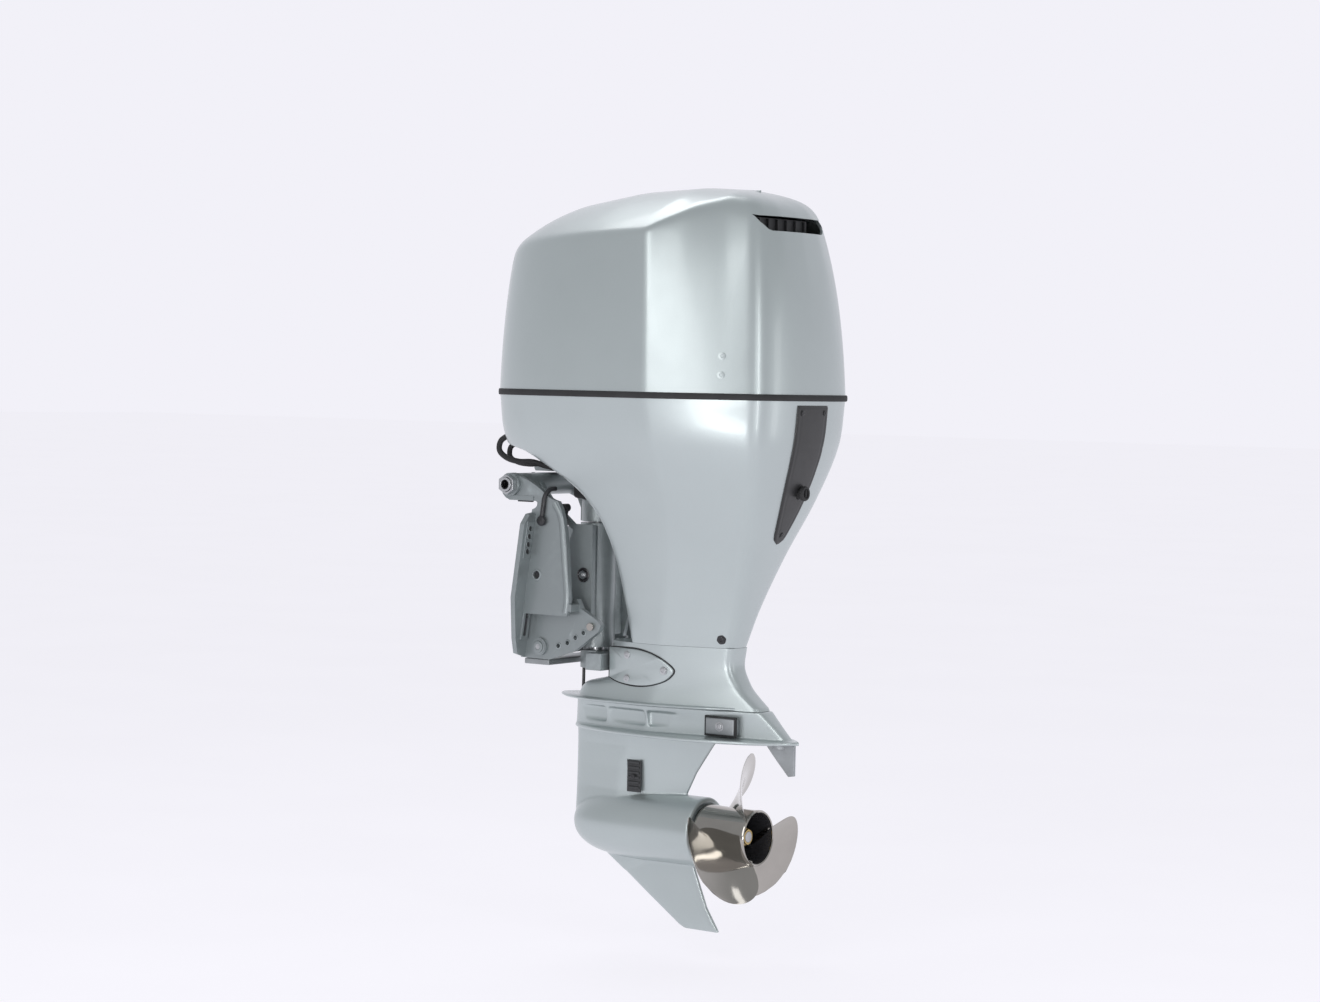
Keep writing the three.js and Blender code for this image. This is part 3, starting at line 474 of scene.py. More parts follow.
def clipped(line, marks, limit):
    """Cuts a half outline off in front of a limit and closes it with a straight front."""
    if line[0, 0] <= limit:
        first = int(0.22 * marks[0])
        return line, (first, *marks)
    k = int(np.argmax(line[:, 0] < limit))
    share = (limit - line[k - 1, 0]) / (line[k, 0] - line[k - 1, 0])
    corner = line[k - 1] + share * (line[k] - line[k - 1])
    front = np.linspace((limit, 0, line[0, 2]), corner, 24)
    moved = np.vstack([front, line[k:]])
    shift = 24 - k
    first = max(23, int(0.22 * marks[0]) + shift)
    return moved, (first, *(m + shift for m in marks))


def ring_from(line, marks, radii, counts):
    """Rounds a half outline, samples it between its marks and mirrors it into a closed ring."""
    line = rounded(line, radii, across, across)
    along = lengths(line)
    anchors = np.concatenate([[0], along[list(marks)]])
    where = np.interp(stations(counts), np.arange(len(anchors)), anchors)
    half = at(line, where, along)
    half[0, 1] = half[-1, 1] = 0
    return np.vstack([half, across(half[1:-1][::-1])])


def crease_radii(line, marks, general, creases):
    """Rounding radius along a half outline: general, but the given one within reach of each crease."""
    along = lengths(line)
    radii = np.full(len(line), float(general))
    for mark, radius in zip(marks, creases):
        distance = np.abs(along - along[mark])
        near = np.clip(distance / (3.0 * max(radius, general)), 0, 1)
        radii = np.where(near < 1, radius + (radii - radius) * near, radii)
    return radii


def skin(name, rings, caps=False):
    """A surface through closed rings that are listed from the bottom up."""
    count = len(rings[0])
    vertices = np.vstack(rings)
    faces = []
    for r in range(len(rings) - 1):
        for i in range(count):
            j = (i + 1) % count
            faces.append([r * count + i, r * count + j, (r + 1) * count + j, (r + 1) * count + i])
    if caps:
        faces.append(list(range(count))[::-1])
        faces.append([(len(rings) - 1) * count + i for i in range(count)])
    return object_of(name, vertices, faces)


def solidified(piece, thickness, rim=0.0):
    modifier = piece.modifiers.new("wall", "SOLIDIFY")
    modifier.thickness = thickness * MM
    modifier.offset = -1
    modifier.use_even_offset = False
    return settled(piece)


# ---------------------------------------------------------------- camera and hoses
def make_camera():
    data = bpy.data.cameras.new("camera")
    data.lens = 84.5
    data.sensor_width = 36
    data.clip_start, data.clip_end = 0.1, 200
    camera = bpy.data.objects.new("camera", data)
    bpy.context.scene.collection.objects.link(camera)
    ahead = Vector((0.5731, -0.8185, -0.0396)).normalized()
    level = Vector((-math.cos(math.radians(35)), -math.sin(math.radians(35)), 0))
    up = level.cross(ahead).normalized()
    roll = math.radians(1.15)
    right = (level * math.cos(roll) + up * math.sin(roll)).normalized()
    up = right.cross(ahead).normalized()
    turn = Matrix((right, up, -ahead)).transposed()
    camera.matrix_world = Matrix.Translation((-4.2033, 5.6580, 0.2826)) @ turn.to_4x4()
    bpy.context.scene.camera = camera


def catmull(points, count):
    """A centripetal curve through the points."""
    p = np.array(points, float)
    p = np.vstack([2 * p[0] - p[1], p, 2 * p[-1] - p[-2]])
    knots = np.concatenate([[0], np.cumsum(np.linalg.norm(np.diff(p, axis=0), axis=1) ** 0.5)])
    result = []
    for u in np.linspace(knots[1], knots[-2], count):
        i = int(np.clip(np.searchsorted(knots, u) - 1, 1, len(p) - 3))
        t = knots[i - 1:i + 3]
        a = [(t[k + 1] - u) / (t[k + 1] - t[k]) * p[i - 1 + k] + (u - t[k]) / (t[k + 1] - t[k]) * p[i + k]
             for k in range(3)]
        b = [(t[k + 2] - u) / (t[k + 2] - t[k]) * a[k] + (u - t[k]) / (t[k + 2] - t[k]) * a[k + 1]
             for k in range(2)]
        result.append((t[2] - u) / (t[2] - t[1]) * b[0] + (u - t[1]) / (t[2] - t[1]) * b[1])
    return np.array(result)


def make_hose(node, radius, route):
    line = catmull(route, 36) * MM
    curve = bpy.data.curves.new(f"{node}_line", "CURVE")
    curve.dimensions = "3D"
    curve.bevel_depth = radius * MM
    curve.bevel_resolution = 6
    curve.resolution_u = 3
    spline = curve.splines.new("POLY")
    spline.points.add(len(line) - 1)
    for point, place in zip(spline.points, line):
        point.co = (*place, 1)
    piece = bpy.data.objects.new(f"{node}_line", curve)
    bpy.context.scene.collection.objects.link(piece)
    curve.use_fill_caps = True
    curve.materials.append(MAT["rubber"])
    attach(piece, BODY_OF[node])
    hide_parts(node)


make_camera()
for hose, (hose_radius, hose_route) in HOSES.items():
    make_hose(hose, hose_radius, hose_route)


# ---------------------------------------------------------------- top cowl
def shoulder_of(u, seam):
    """Where the wall meets the crown. u is 0 at the front, 1 at the mid crease, 2 at the corner."""
    if u <= 1:
        ahead = 1 - u
        lean = -21 + 77 * ahead ** 1.3
        return np.array([seam[0] - lean, seam[1] * (0.89 - 0.02 * ahead), 600 - 52 * ahead ** 1.1])
    marks = np.array([1.0, 1.35, 1.72, 2.0, 2.5, 3.0])
    table = np.array([(-359, 245, 600), (-428, 196, 640), (-500, 140, 672), (-562, 122, 664), (-583, 62, 656),
                      (-588, 0, 653)], float)
    return np.array([np.interp(u, marks, table[:, k]) for k in range(3)])


def spine_of(x):
    table = np.array([(-480, 695.5), (-460, 697), (-375, 702), (-219, 695), (-75, 672), (0, 655)])
    return np.interp(x, table[:, 0], table[:, 1])


def make_cowl():
    seam, marks = half_outline(section_at(COVER_SECTIONS, SEAM_Z), SEAM_Z + SEAM_HALF + GAP)
    spans = np.interp(np.arange(len(seam)), [0, *marks], [0, 1, 2, 3])
    levels = 64
    columns = []
    for u, foot in zip(spans, seam):
        shoulder = shoulder_of(u, foot)
        px = float(np.clip(foot[0], -470, -60)) * 0.94 - 18
        slope = (spine_of(px + 5) - spine_of(px - 5)) / 10
        peak = np.array([px, 0, spine_of(px)])
        wall_mid = foot + 0.15 * (shoulder - foot)
        wall_mid[2] = foot[2] + 0.62 * (shoulder[2] - foot[2])
        top_mid = shoulder + 0.45 * (peak - shoulder)
        top_mid[2] = peak[2] + slope * (top_mid[0] - px) - 10 * max(0.0, 1 - 1.4 * u)
        wall = bezier([foot, wall_mid, shoulder], 90)
        top = bezier([shoulder, top_mid, peak], 90)
        column = np.vstack([wall, top[1:]])
        radius = np.interp(u, [0, 0.35, 0.7, 1, 1.4, 2, 3], [38, 20, 9, 8, 20, 32, 34])
        column = rounded(column, radius, through(column[0]), across)
        along = lengths(column)
        half = along[89]
        # the shoulder gets more rows than the flats on either side of it
        where = np.interp(stations([levels // 2, levels // 2 - 1], 0.6), [0, 1, 2], [0, half, along[-1]])
        columns.append(at(column, where, along))
    grid = np.array(columns)
    rings = []
    # the rows nearest the spine are left out: they are so short at its ends that they would pinch
    for k in range(grid.shape[1] - 4):
        line = grid[:, k]
        size = lengths(line)[-1]
        general = min(6.0, size * 0.01)
        radii = crease_radii(line, marks, general, (min(8.0, size * 0.02), min(18.0, size * 0.03)))
        rings.append(ring_from(line, marks, radii, (52, 34, 26)))
    # the crown closes on the spine line
    closing = rings[-1].copy()
    closing[:, 1] = 0
    closing[:, 2] = spine_of(closing[:, 0])
    rings.append(closing)
    shell = skin("cowl_shell", rings)
    work = bmesh.new()
    work.from_mesh(shell.data)
    bmesh.ops.remove_doubles(work, verts=work.verts, dist=2e-5)
    work.to_mesh(shell.data)
    work.free()
    solidified(shell, WALL)
    slot = [(-131, 636), (-120, 634), (120, 634), (131, 636), (124, 620), (108, 605), (98, 602), (-98, 602),
            (-108, 605), (-124, 620)]
    cut(shell, prism("slot", slot, -700, -540, "x"))
    tidy_mesh(shell, 1e-6)
    return finished(shell, "silver", "top_cowl", angle=50)


cowl = make_cowl()


# ---------------------------------------------------------------- seal, lower cover, panel
def aft_x(table, y, z):
    """Where a cover's aft face is at a place across it."""
    line, _ = half_outline(section_at(table, z), z)
    stern = line[120:]
    return float(np.interp(-abs(y), -stern[:, 1], stern[:, 0]))


def make_seal():
    rings = []
    for z, out in ((-4, -2.5), (-4, 0.4), (-6.6, 0.5), (-6.9, 1.6), (-5, 2.8), (0, 3.2), (5, 2.8),
                   (6.9, 1.6), (6.6, 0.5), (4, 0.4), (4, -2.5)):
        line, marks = half_outline(section_at(COVER_SECTIONS, SEAM_Z), SEAM_Z + z, -out)
        rings.append(ring_from(line, marks, crease_radii(line, marks, 5, (8, 16)), (52, 34, 26)))
    inner, marks = half_outline(section_at(COVER_SECTIONS, SEAM_Z), SEAM_Z + 4, 13)
    rings.append(ring_from(inner, marks, 8, (52, 34, 26)))
    rings.append(rings[-1] - np.array([0, 0, 8]))
    rings.append(rings[0])
    band = skin("seal_bead", rings)
    tidy_mesh(band, 1e-6)
    finished(band, "rubber", "seal_band")


def make_lower_cover():
    edge = rounded(np.array([(x, 0.0, z) for z, x in COVER_EDGE], float), 0.1, lambda q: q, lambda q: q, 0)
    fine = catmull(edge, 400)
    along = lengths(fine)
    rows = at(fine, np.linspace(0, along[-1], 104), along)
    rings = []
    for x, _, z in rows:
        z = min(z, SEAM_Z - SEAM_HALF - GAP)
        if z < COVER_FOOT + GAP:
            z = COVER_FOOT + GAP
        line, marks = half_outline(section_at(COVER_SECTIONS, z), z)
        soften = np.interp(z, [-305, 0, 90, 130, 246], [9, 14, 26, 30, 8])
        line, marks = clipped(line, marks, x)
        radii = crease_radii(line, marks[1:], 6, (8, 17))
        along_line = lengths(line)
        corner = along_line[23] if line[0, 0] == line[20, 0] else along_line[marks[0]]
        near = np.clip(1 - np.abs(along_line - corner) / (3 * soften), 0, 1)
        radii = np.maximum(radii, soften * near)
        rings.append(ring_from(line, marks, radii, (14, 42, 34, 26)))
        if z == COVER_FOOT + GAP:
            break
    shell = skin("lower_cover_shell", rings[::-1])
    tidy_open(shell)
    solidified(shell, WALL)
    mount_way = prism("mount_way", [(-230, -50), (-60, -50), (-60, 50), (-230, 50)], -50, 14, "z")
    plug_way = turned("plug_way", [(0, -720), (PLUG_R + 1, -720), (PLUG_R + 1, -540), (0, -540)], "x",
                      (0, PLUG_Y, PLUG_Z), 32)
    cut(shell, mount_way, plug_way)
    tidy_mesh(shell, 1e-6)
    return finished(shell, "silver", "lower_cover", angle=50)


def tidy_open(piece, merge=2e-5):
    """Merges points without turning an open surface's faces."""
    work = bmesh.new()
    work.from_mesh(piece.data)
    bmesh.ops.remove_doubles(work, verts=work.verts, dist=merge)
    work.to_mesh(piece.data)
    work.free()


PANEL_TOP, PANEL_TIP = 230, -74
PANEL_HALF = ((230, 60), (175, 60.5), (120, 58.5), (70, 53), (20, 44), (-20, 34), (-52, 24), (-64, 18),
              (-74, 0.5))


def panel_half(z):
    table = np.array(PANEL_HALF[::-1], float)
    return float(np.interp(z, table[:, 0], table[:, 1]))


def make_panel():
    """The plastic panel on the aft face, dished to the cover, with a rolled edge."""
    heights = np.concatenate([np.linspace(PANEL_TOP, -52, 56), np.linspace(-55, PANEL_TIP, 12)])
    spread_across = np.sin(np.linspace(-math.pi / 2, math.pi / 2, 31))
    rows = []
    for z in heights:
        half = panel_half(z)
        for s in spread_across:
            y = s * half
            edge = min(half * (1 - abs(s)), PANEL_TOP - z + 0.01, (z - PANEL_TIP) * 0.6 + 0.01)
            brink = 4.0 * math.sqrt(max(0.0, 1 - (1 - min(edge, 5) / 5) ** 2))
            proud = brink - 0.6 * math.exp(-((edge - 11) / 1.6) ** 2)
            groove = sum(math.exp(-((z - g) / 1.1) ** 2) for g in (137, 84)) * 0.7
            rows.append((aft_x(COVER_SECTIONS, y, z) - GAP - proud + groove, y, z))
    count = len(spread_across)
    faces = [[r * count + c, r * count + c + 1, (r + 1) * count + c + 1, (r + 1) * count + c]
             for r in range(len(heights) - 1) for c in range(count - 1)]
    panel = object_of("rear_panel_face", rows, faces)
    solidified(panel, 1.2)
    seat = turned("seat", [(0, -720), (PLUG_R + 1.5, -720), (PLUG_R + 1.5, -540), (0, -540)], "x",
                  (0, PLUG_Y, PLUG_Z), 32)
    tidy_mesh(panel, 1e-6)
    cut(panel, seat)
    tidy_mesh(panel, 1e-6)
    finished(panel, "panel", "rear_panel", angle=50)
    screws = []
    for y, z in ((-44, 214), (44, 214), (0, -52)):
        lean = Vector((-1, 0, -0.35 if z < 0 else -0.05))
        screws.append(bolt(f"screw_{len(screws)}", (aft_x(COVER_SECTIONS, y, z) - 4.2, y, z), lean, 5.2,
                           2.2, 24, 1.35))
    finished(joined(*screws), "black_paint", "rear_panel", ())
    bpy.context.scene.objects[screws[0].name].name = "rear_panel_screws"
    centre = (0, PLUG_Y, PLUG_Z)
    ring = [(0, -590), (12, -590), (12, -610.6), (16, -611), (16.2, -616.4), (14.6, -619.4),
            (10.5, -619.6), (9.6, -616), (0, -615.6)]
    cap = turned("flush_plug_cap", ring, "x", centre, 48, lambda a: 1 + 0.012 * math.cos(18 * a))
    bar = rounded_box("grip", (-619.2, PLUG_Y - 2.2, PLUG_Z - 9), (-614, PLUG_Y + 2.2, PLUG_Z + 9), 1.0)
    joined(cap, bar)
    finished(cap, "rubber", "flush_plug")


make_seal()
lower_shell = make_lower_cover()
make_panel()


# ---------------------------------------------------------------- leg
def make_leg():
    rings = []
    top, bottom = COVER_FOOT - GAP, LEG_FOOT + 6
    for z in np.linspace(bottom, top, 44):
        line, marks = half_outline(section_at(LEG_SECTIONS, z), z)
        rings.append(ring_from(line, marks, crease_radii(line, marks, 5, (16, 10)), (52, 34, 26)))
    foot = rings[0]
    skirt = []
    for drop, out in ((1.0, 1.2), (3.0, 5.0), (5.7, 9.0)):
        ring = foot.copy()
        flat = foot[:, :2] - foot[:, :2].mean(axis=0)
        flat = flat / np.linalg.norm(flat, axis=1)[:, None]
        ring[:, :2] += flat * out * 0.3
        ring[:, 2] -= drop
        skirt.append(ring)
    rings = skirt[::-1] + rings
    leg = skin("leg_shell", rings, caps=True)
    tidy_mesh(leg)
    half = [(16, 0), (11, 14), (0, 29), (-40, 62), (-120, 92), (-210, 97), (-300, 96), (-420, 70), (-480, 40)]
    plan = catmull([(x, y, 0) for x, y in half], 60)
    rim = []
    for z, inset in ((LEG_FOOT + GAP, 2.4), (LEG_FOOT + 1.6, 0.6), (LEG_FOOT + 3.2, 0), (LEG_FOOT + 5, 0.8),
                     (LEG_FOOT + 6, 2.6)):
        port = plan.copy()
        port[:, 1] = np.maximum(port[:, 1] - inset, 0)
        port[:, 0] -= inset * np.clip((port[:, 0] + 100) / 116, 0, 1)
        port[:, 2] = z
        rim.append(np.vstack([port, across(port[::-1][:-1])]))
    plate = skin("splash_plate", rim, caps=True)
    tidy_mesh(plate)
    hollow = prism("hollow", [(-425, -38), (-238, -38), (-238, 38), (-425, 38)], -460, -290, "z")
    yoke = prism("yoke", [(-142, -90), (0, -90), (0, 90), (-142, 90)], -378, -330, "z")
    cut(leg, hollow, yoke)
    joined(leg, plate)
    finished(leg, "silver", "extension_case", angle=42)
    make_neck()


def make_neck():
    """The upper tube of the leg, inside the lower cover."""
    rings = []
    for z in (-306, -292, -240, -180, -120, -80, -71):
        s = {"front": -229, "wide": 56, "wideX": -300, "cornerX": -425, "cornerY": 30, "aft": -440}
        flare = 4 * math.exp(-((z + 71) / 9) ** 2)
        line, marks = half_outline(s, z, -flare)
        rings.append(ring_from(line, marks, 9, (30, 18, 14)))
    neck = skin("leg_neck", rings)
    tidy_open(neck)
    solidified(neck, 9)
    tidy_mesh(neck, 1e-6)
    finished(neck, "cast_silver", "extension_case", ())


ALMOND = ((-146, -319), (-196, -317), (-243, -318), (-290, -328), (-322, -345), (-336, -361), (-322, -380),
          (-290, -394), (-243, -401), (-194, -398), (-146, -388))


def almond_point(sign, x, z, proud):
    s = section_at(LEG_SECTIONS, z)
    line, _ = half_outline(s, z)
    y = float(np.interp(-x, -line[40:, 0], line[40:, 1]))
    return (x, sign * (y + proud), z)


def make_mount_covers():
    outline = catmull([(x, 0, z) for x, z in ALMOND], 84)[:, [0, 2]]
    front = np.column_stack([np.full(12, -146.0), np.linspace(-390, -316, 14)[1:-1]])
    outline = np.vstack([outline, front])
    centre = np.array([-225.0, -361.0])
    for side, sign in (("port", 1), ("starboard", -1)):
        for name, material, grow, heights in (
                ("mount_cover", "silver", -2.2,
                 ((1.0, 0.2), (1.0, 2.6), (0.985, 3.9), (0.955, 4.4), (0.6, 4.4), (0.2, 4.4))),
                ("mount_gasket", "rubber", 1.2, ((1.0, 0.1), (1.0, 1.2), (0.9, 1.2)))):
            node = f"mount_cover_{side}"
            direction = outline - centre
            reach = np.linalg.norm(direction, axis=1)[:, None]
            points, faces = [], []
            for share, proud in heights:
                ring = centre + direction * (share * (reach + grow) / reach)
                points += [almond_point(sign, x, z, proud) for x, z in ring]
            count = len(outline)
            for r in range(len(heights) - 1):
                faces += [[r * count + i, r * count + (i + 1) % count, (r + 1) * count + (i + 1) % count,
                           (r + 1) * count + i] for i in range(count)]
            points.append(almond_point(sign, *centre, heights[-1][1]))
            last = (len(heights) - 1) * count
            faces += [[last + i, last + (i + 1) % count, len(points) - 1] for i in range(count)]
            cover = object_of(f"{name}_{side}_face", points, faces)
            tidy_mesh(cover)
            finished(cover, material, node, None if name == "mount_cover" else ())
        bolts = [bolt(f"bolt_{k}", almond_point(sign, x, z, 4.2), (0, sign, 0), 7.5, 3.4, 24, 1.25)
                 for k, (x, z) in enumerate(((-209, -333), (-209, -386), (-312, -361)))]
        heads = joined(*bolts)
        heads.name = f"mount_cover_bolts_{side}"
        finished(heads, "steel", f"mount_cover_{side}", ())


# ---------------------------------------------------------------- gear case
def strut_section(z, aft, wide):
    return {"front": -35, "wide": wide, "wideX": (-35 + aft) * 0.45, "cornerX": aft + 14, "cornerY": 5,
            "aft": aft}


def loft_sections(name, sections, rounding, counts=(40, 30, 10)):
    rings = []
    for s, z in sections:
        line, marks = half_outline(s, z)
        rings.append(ring_from(line, marks, rounding, counts))
    piece = skin(name, rings, caps=True)
    tidy_mesh(piece)
    return piece


def make_gear_case():
    levels = np.linspace(-500, LEG_FOOT - GAP, 26)
    head = loft_sections("gear_case_shell", [(section_at(HEAD_SECTIONS, z), z) for z in levels], 3)
    pockets = []
    for sign in (1, -1):
        for x0, x1, depth in ((-62, -150, 50), (-158, -262, 62), (-270, -380, 62)):
            pocket = [(x1, sign * depth), (x0, sign * depth), (x0, sign * 120), (x1, sign * 120)]
            pockets.append(bevelled(prism("pocket", pocket, -487, -453, "z"), 5, 3))
    cut(head, *pockets)
    plan = [(-30, 0), (-36, 22), (-54, 44), (-90, 66), (-160, 93), (-230, 106), (-300, 112), (-370, 112),
            (-430, 107), (-490, 92), (-540, 72), (-584, 42), (-608, 20), (-622, 0)]
    line = catmull([(x, y, 0) for x, y in plan], 90)
    line[0, 1] = line[-1, 1] = 0
    rims = []
    for z, inset in ((PLATE_Z - 8, 2.4), (PLATE_Z - 6.4, 0.7), (PLATE_Z - 4, 0), (PLATE_Z - 1.6, 0.7),
                     (PLATE_Z, 2.4)):
        port = line.copy()
        port[:, 1] = np.maximum(0, port[:, 1] - inset)
        port[:, 2] = z
        rims.append(np.vstack([port, across(port[1:-1][::-1])]))
    plate = skin("plate", rims, caps=True)
    tidy_mesh(plate)
    table = np.array([(-712, -330, 52), (-700, -330, 50), (-640, -337, 44), (-590, -362, 43),
                      (-540, -396, 44), (-500, -424, 49)], float)
    heights = np.linspace(-712, -500, 54)
    sections = [(strut_section(z, *(float(np.interp(z, table[:, 0], table[:, k])) for k in (1, 2))), z)
                for z in heights]
    strut = loft_sections("strut", sections, 7)
    curve = catmull([(2, 0, -36), (22, 0, -39), (42, 0, -52), (60, 0, -82), (72, 0, -130),
                     (BULLET_R, 0, -200), (BULLET_R, 0, -300), (BULLET_R, 0, BULLET_AFT + 3)], 70)
    profile = [(0, -36)] + [(r, x) for r, _, x in curve] + [(BULLET_R - 1.5, BULLET_AFT), (66, BULLET_AFT),
               (64, BULLET_AFT + 5), (54, BULLET_AFT + 5), (54, -320), (0, -320)]
    bullet = turned("bullet", profile, "x", (0, 0, PROP_Z), 120)
    outer = [(-50, -738), (-70, -753), (-130, -798), (-230, -870), (-319, -932), (-334, -939),
             (-425, -940), (-391, -887), (-352, -791), (-338, -766), (-260, -730), (-120, -720)]
    skeg = foil("skeg", outer, 6.5)
    foot = [(-34, -640), (-34, -717), (-40, -732), (-60, -748), (-120, -792), (-170, -826), (-230, -800),
            (-230, -640)]
    forefoot = foil("forefoot", foot, 13)
    joined(head, plate, strut, skeg, forefoot)
    joined(head, bullet)
    remesh = head.modifiers.new("weld", "REMESH")
    remesh.mode = "VOXEL"
    remesh.voxel_size = 2.0 * MM
    settled(head)
    relax = head.modifiers.new("relax", "SMOOTH")
    relax.factor = 0.5
    relax.iterations = 9
    settled(head)
    ways = [turned("carrier_way", [(0, -400), (53, -400), (53, -318), (0, -318)], "x", (0, 0, PROP_Z), 96)]
    for sign in (1, -1):
        ways.append(prism("intake_way",
                          [(-235, sign * 38), (-195, sign * 38), (-195, sign * 60), (-235, sign * 60)],
                          -643, -569, "z"))
        ways.append(prism("anode_way",
                          [(-492, sign * 34), (-412, sign * 34), (-412, sign * 90), (-492, sign * 90)],
                          -496, -454, "z"))
    cut(head, *ways)
    finished(head, "silver", "gearcase", angle=60)


def foil(name, outline, half):
    """A fin whose thickness falls off towards its outline."""
    edge = np.array(outline, float)
    closed = np.vstack([edge, edge[:1]])
    along = lengths(closed)
    ring = at(closed, np.linspace(0, along[-1], 181)[:-1], along)
    centre = ring.mean(axis=0)
    points, faces, count = [], [], len(ring)
    shares = ((1.0, 0.5), (0.985, 0.62), (0.95, 0.74), (0.88, 0.88), (0.75, 0.97), (0.5, 1.0), (0.2, 1.0))
    for sign in (1, -1):
        start = len(points)
        for share, thick in shares:
            points += [(x, sign * half * thick, z) for x, z in centre + (ring - centre) * share]
        points.append((centre[0], sign * half, centre[1]))
        for r in range(len(shares) - 1):
            faces += [[start + r * count + i, start + r * count + (i + 1) % count,
                       start + (r + 1) * count + (i + 1) % count,
                       start + (r + 1) * count + i] for i in range(count)]
        last = start + (len(shares) - 1) * count
        faces += [[last + i, last + (i + 1) % count, len(points) - 1] for i in range(count)]
    other = len(points) // 2
    faces += [[i, (i + 1) % count, other + (i + 1) % count, other + i] for i in range(count)]
    piece = object_of(name, points, faces)
    tidy_mesh(piece)
    return piece


def make_gear_case_fittings():
    for side, sign in (("port", 1), ("starboard", -1)):
        slats = []
        low, high = sorted((sign * 38.4, sign * 42.5))
        slats.append(rounded_box("slats", (-233.5, low, -641.5), (-196.5, high, -570.5), 1.0))
        for k in range(6):
            z = -634 + 11.2 * k
            low, high = sorted((sign * 42, sign * 46.4))
            slats.append(rounded_box(f"slat_{k}", (-231, low, z), (-199, high, z + 5.2), 1.2))
        screen = joined(*slats)
        screen.name = f"water_intake_{side}_screen"
        finished(screen, "plastic", f"water_intake_{side}")
        screw = bolt(f"water_intake_{side}_screw", (-215, sign * 46, -606), (0, sign, 0), 5, 2.4, 24, 1.3)
        finished(screw, "black_paint", f"water_intake_{side}", ())
        low, high = sorted((sign * 34.4, sign * 57.6))
        block = rounded_box(f"anode_{side}_block", (-489, low, -493), (-415, high, -457), 2.4)
        finished(block, "zinc", f"anode_{side}")
        head = bolt(f"anode_{side}_bolt", (-452, sign * 57.4, -475), (0, sign, 0), 7.5, 4.0)
        finished(head, "steel", f"anode_{side}", ())
        low, high = sorted((sign * 50, sign * 54.5))
        gasket = rounded_box(f"anode_{side}_gasket", (-493.5, low, -497.0), (-410.5, high, -453.0), 1.0)
        finished(gasket, "rubber", f"anode_{side}", ())


# ---------------------------------------------------------------- propeller
def blade_rings(angle):
    rings = []
    chord = np.sin(np.linspace(-math.pi / 2, math.pi / 2, 17))
    for k in range(27):
        share = k / 26
        radius = 51 + (PROP_R - 1 - 51) * share ** 0.82
        reach = (radius - 50) / (PROP_R - 50)
        width = 0.76 * (1 - 0.3 * reach + 0.35 * math.sin(math.pi * reach)) * math.sqrt(max(0.012,
                                                                                            1 - reach ** 5))
        thick = 8.5 * (1 - reach) ** 0.8 + 2.6 + 7 * math.exp(-(radius - 55) / 6)

        def face(sign):
            points = []
            for s in chord:
                turn = width * s + 0.18 * reach
                cup = 3.0 * reach * max(0.0, -s - 0.55) ** 2 / 0.2
                x = PROP_PITCH / (2 * math.pi) * width * s - 6 - 24 * reach - cup
                x += sign * thick / 2 * (1 - s * s) ** 0.6
                points.append((x + (HUB_FRONT + HUB_AFT) / 2, radius * math.cos(turn + angle),
                               radius * math.sin(turn + angle) + PROP_Z))
            return points
        rings.append(np.array(face(-1) + face(1)[1:-1][::-1]))
    return rings


def make_propeller():
    hub = [(HUB_BORE, -522), (HUB_R - 1.6, -523.6), (HUB_R + 0.6, -521), (HUB_R, -512),
           (HUB_R - 0.6, -490), (HUB_R, -440), (HUB_R + 1.6, -396), (HUB_R + 2, -390.5),
           (HUB_R + 1, -388.4), (HUB_BORE + 1, -388.4), (HUB_BORE, -396)]
    barrel = turned("propeller_body", hub, "x", (0, 0, PROP_Z), 96)
    # the core and its ribs are painted black as shade for the dark inside of the exhaust bore
    core = turned("core", [(13, -478), (24, -478), (27, -474), (28, -400), (27, -392), (13, -392)], "x",
                  (0, 0, PROP_Z), 48)
    ribs = []
    for k in range(3):
        rib = prism("rib", [(-4, 20), (4, 20), (4, HUB_BORE + 2), (-4, HUB_BORE + 2)], -474, -396, "x")
        rib.data.transform(Matrix.Translation((0, 0, PROP_Z * MM)) @ Matrix.Rotation(k * 2 * math.pi / 3, 4,
                                                                                     "X"))
        ribs.append(bevelled(rib, 2, 2))
    blades = []
    for angle in BLADE_ANGLES:
        blade = skin("blade", blade_rings(math.radians(angle)), caps=True)
        tidy_mesh(blade)
        blades.append(blade)
    joined(barrel, *blades)
    finished(barrel, "stainless", "propeller", angle=55)
    joined(core, *ribs)
    core.name = "propeller_core_painted_shade"
    finished(core, "black_paint", "propeller", ())
    # a thin black skin inside the hub bore is painted shade
    bore_shade = turned("propeller_bore_shade",
                    [(HUB_BORE - 0.5, -519), (HUB_BORE - 0.5, -398), (HUB_BORE - 1.3, -398),
                                         (HUB_BORE - 1.3, -519)], "x", (0, 0, PROP_Z), 64)
    finished(bore_shade, "black_paint", "propeller", ())
    nut = turned("prop_nut_castle",
                 [(12.8, -479), (20, -479), (20, -490), (17, -491), (17, -496), (12.8, -496)], "x",
                 (0, 0, PROP_Z), 48, lambda a: 1 - 0.045 * abs(math.cos(3 * a)))
    finished(nut, "brass", "prop_nut")
    washer = turned("prop_washer", [(13, -478.8), (24, -478.8), (24, -476.4), (13, -476.4)], "x",
                    (0, 0, PROP_Z), 40)
    finished(washer, "brass", "prop_nut", ())


make_leg()
make_mount_covers()
make_gear_case()
make_gear_case_fittings()
make_propeller()


# ---------------------------------------------------------------- brackets and small hardware
FLANGE_BACK = 12.0
SLOT_Y, SLOT_Z = (131, 142), (-302, -237)
BRACKET_BOLTS = (-58, -76, -94, -110)
WEB_RIB = ((-66, 0), (-84, -30), (-93, -95), (-99, -150), (-105, -213), (-101, -243))


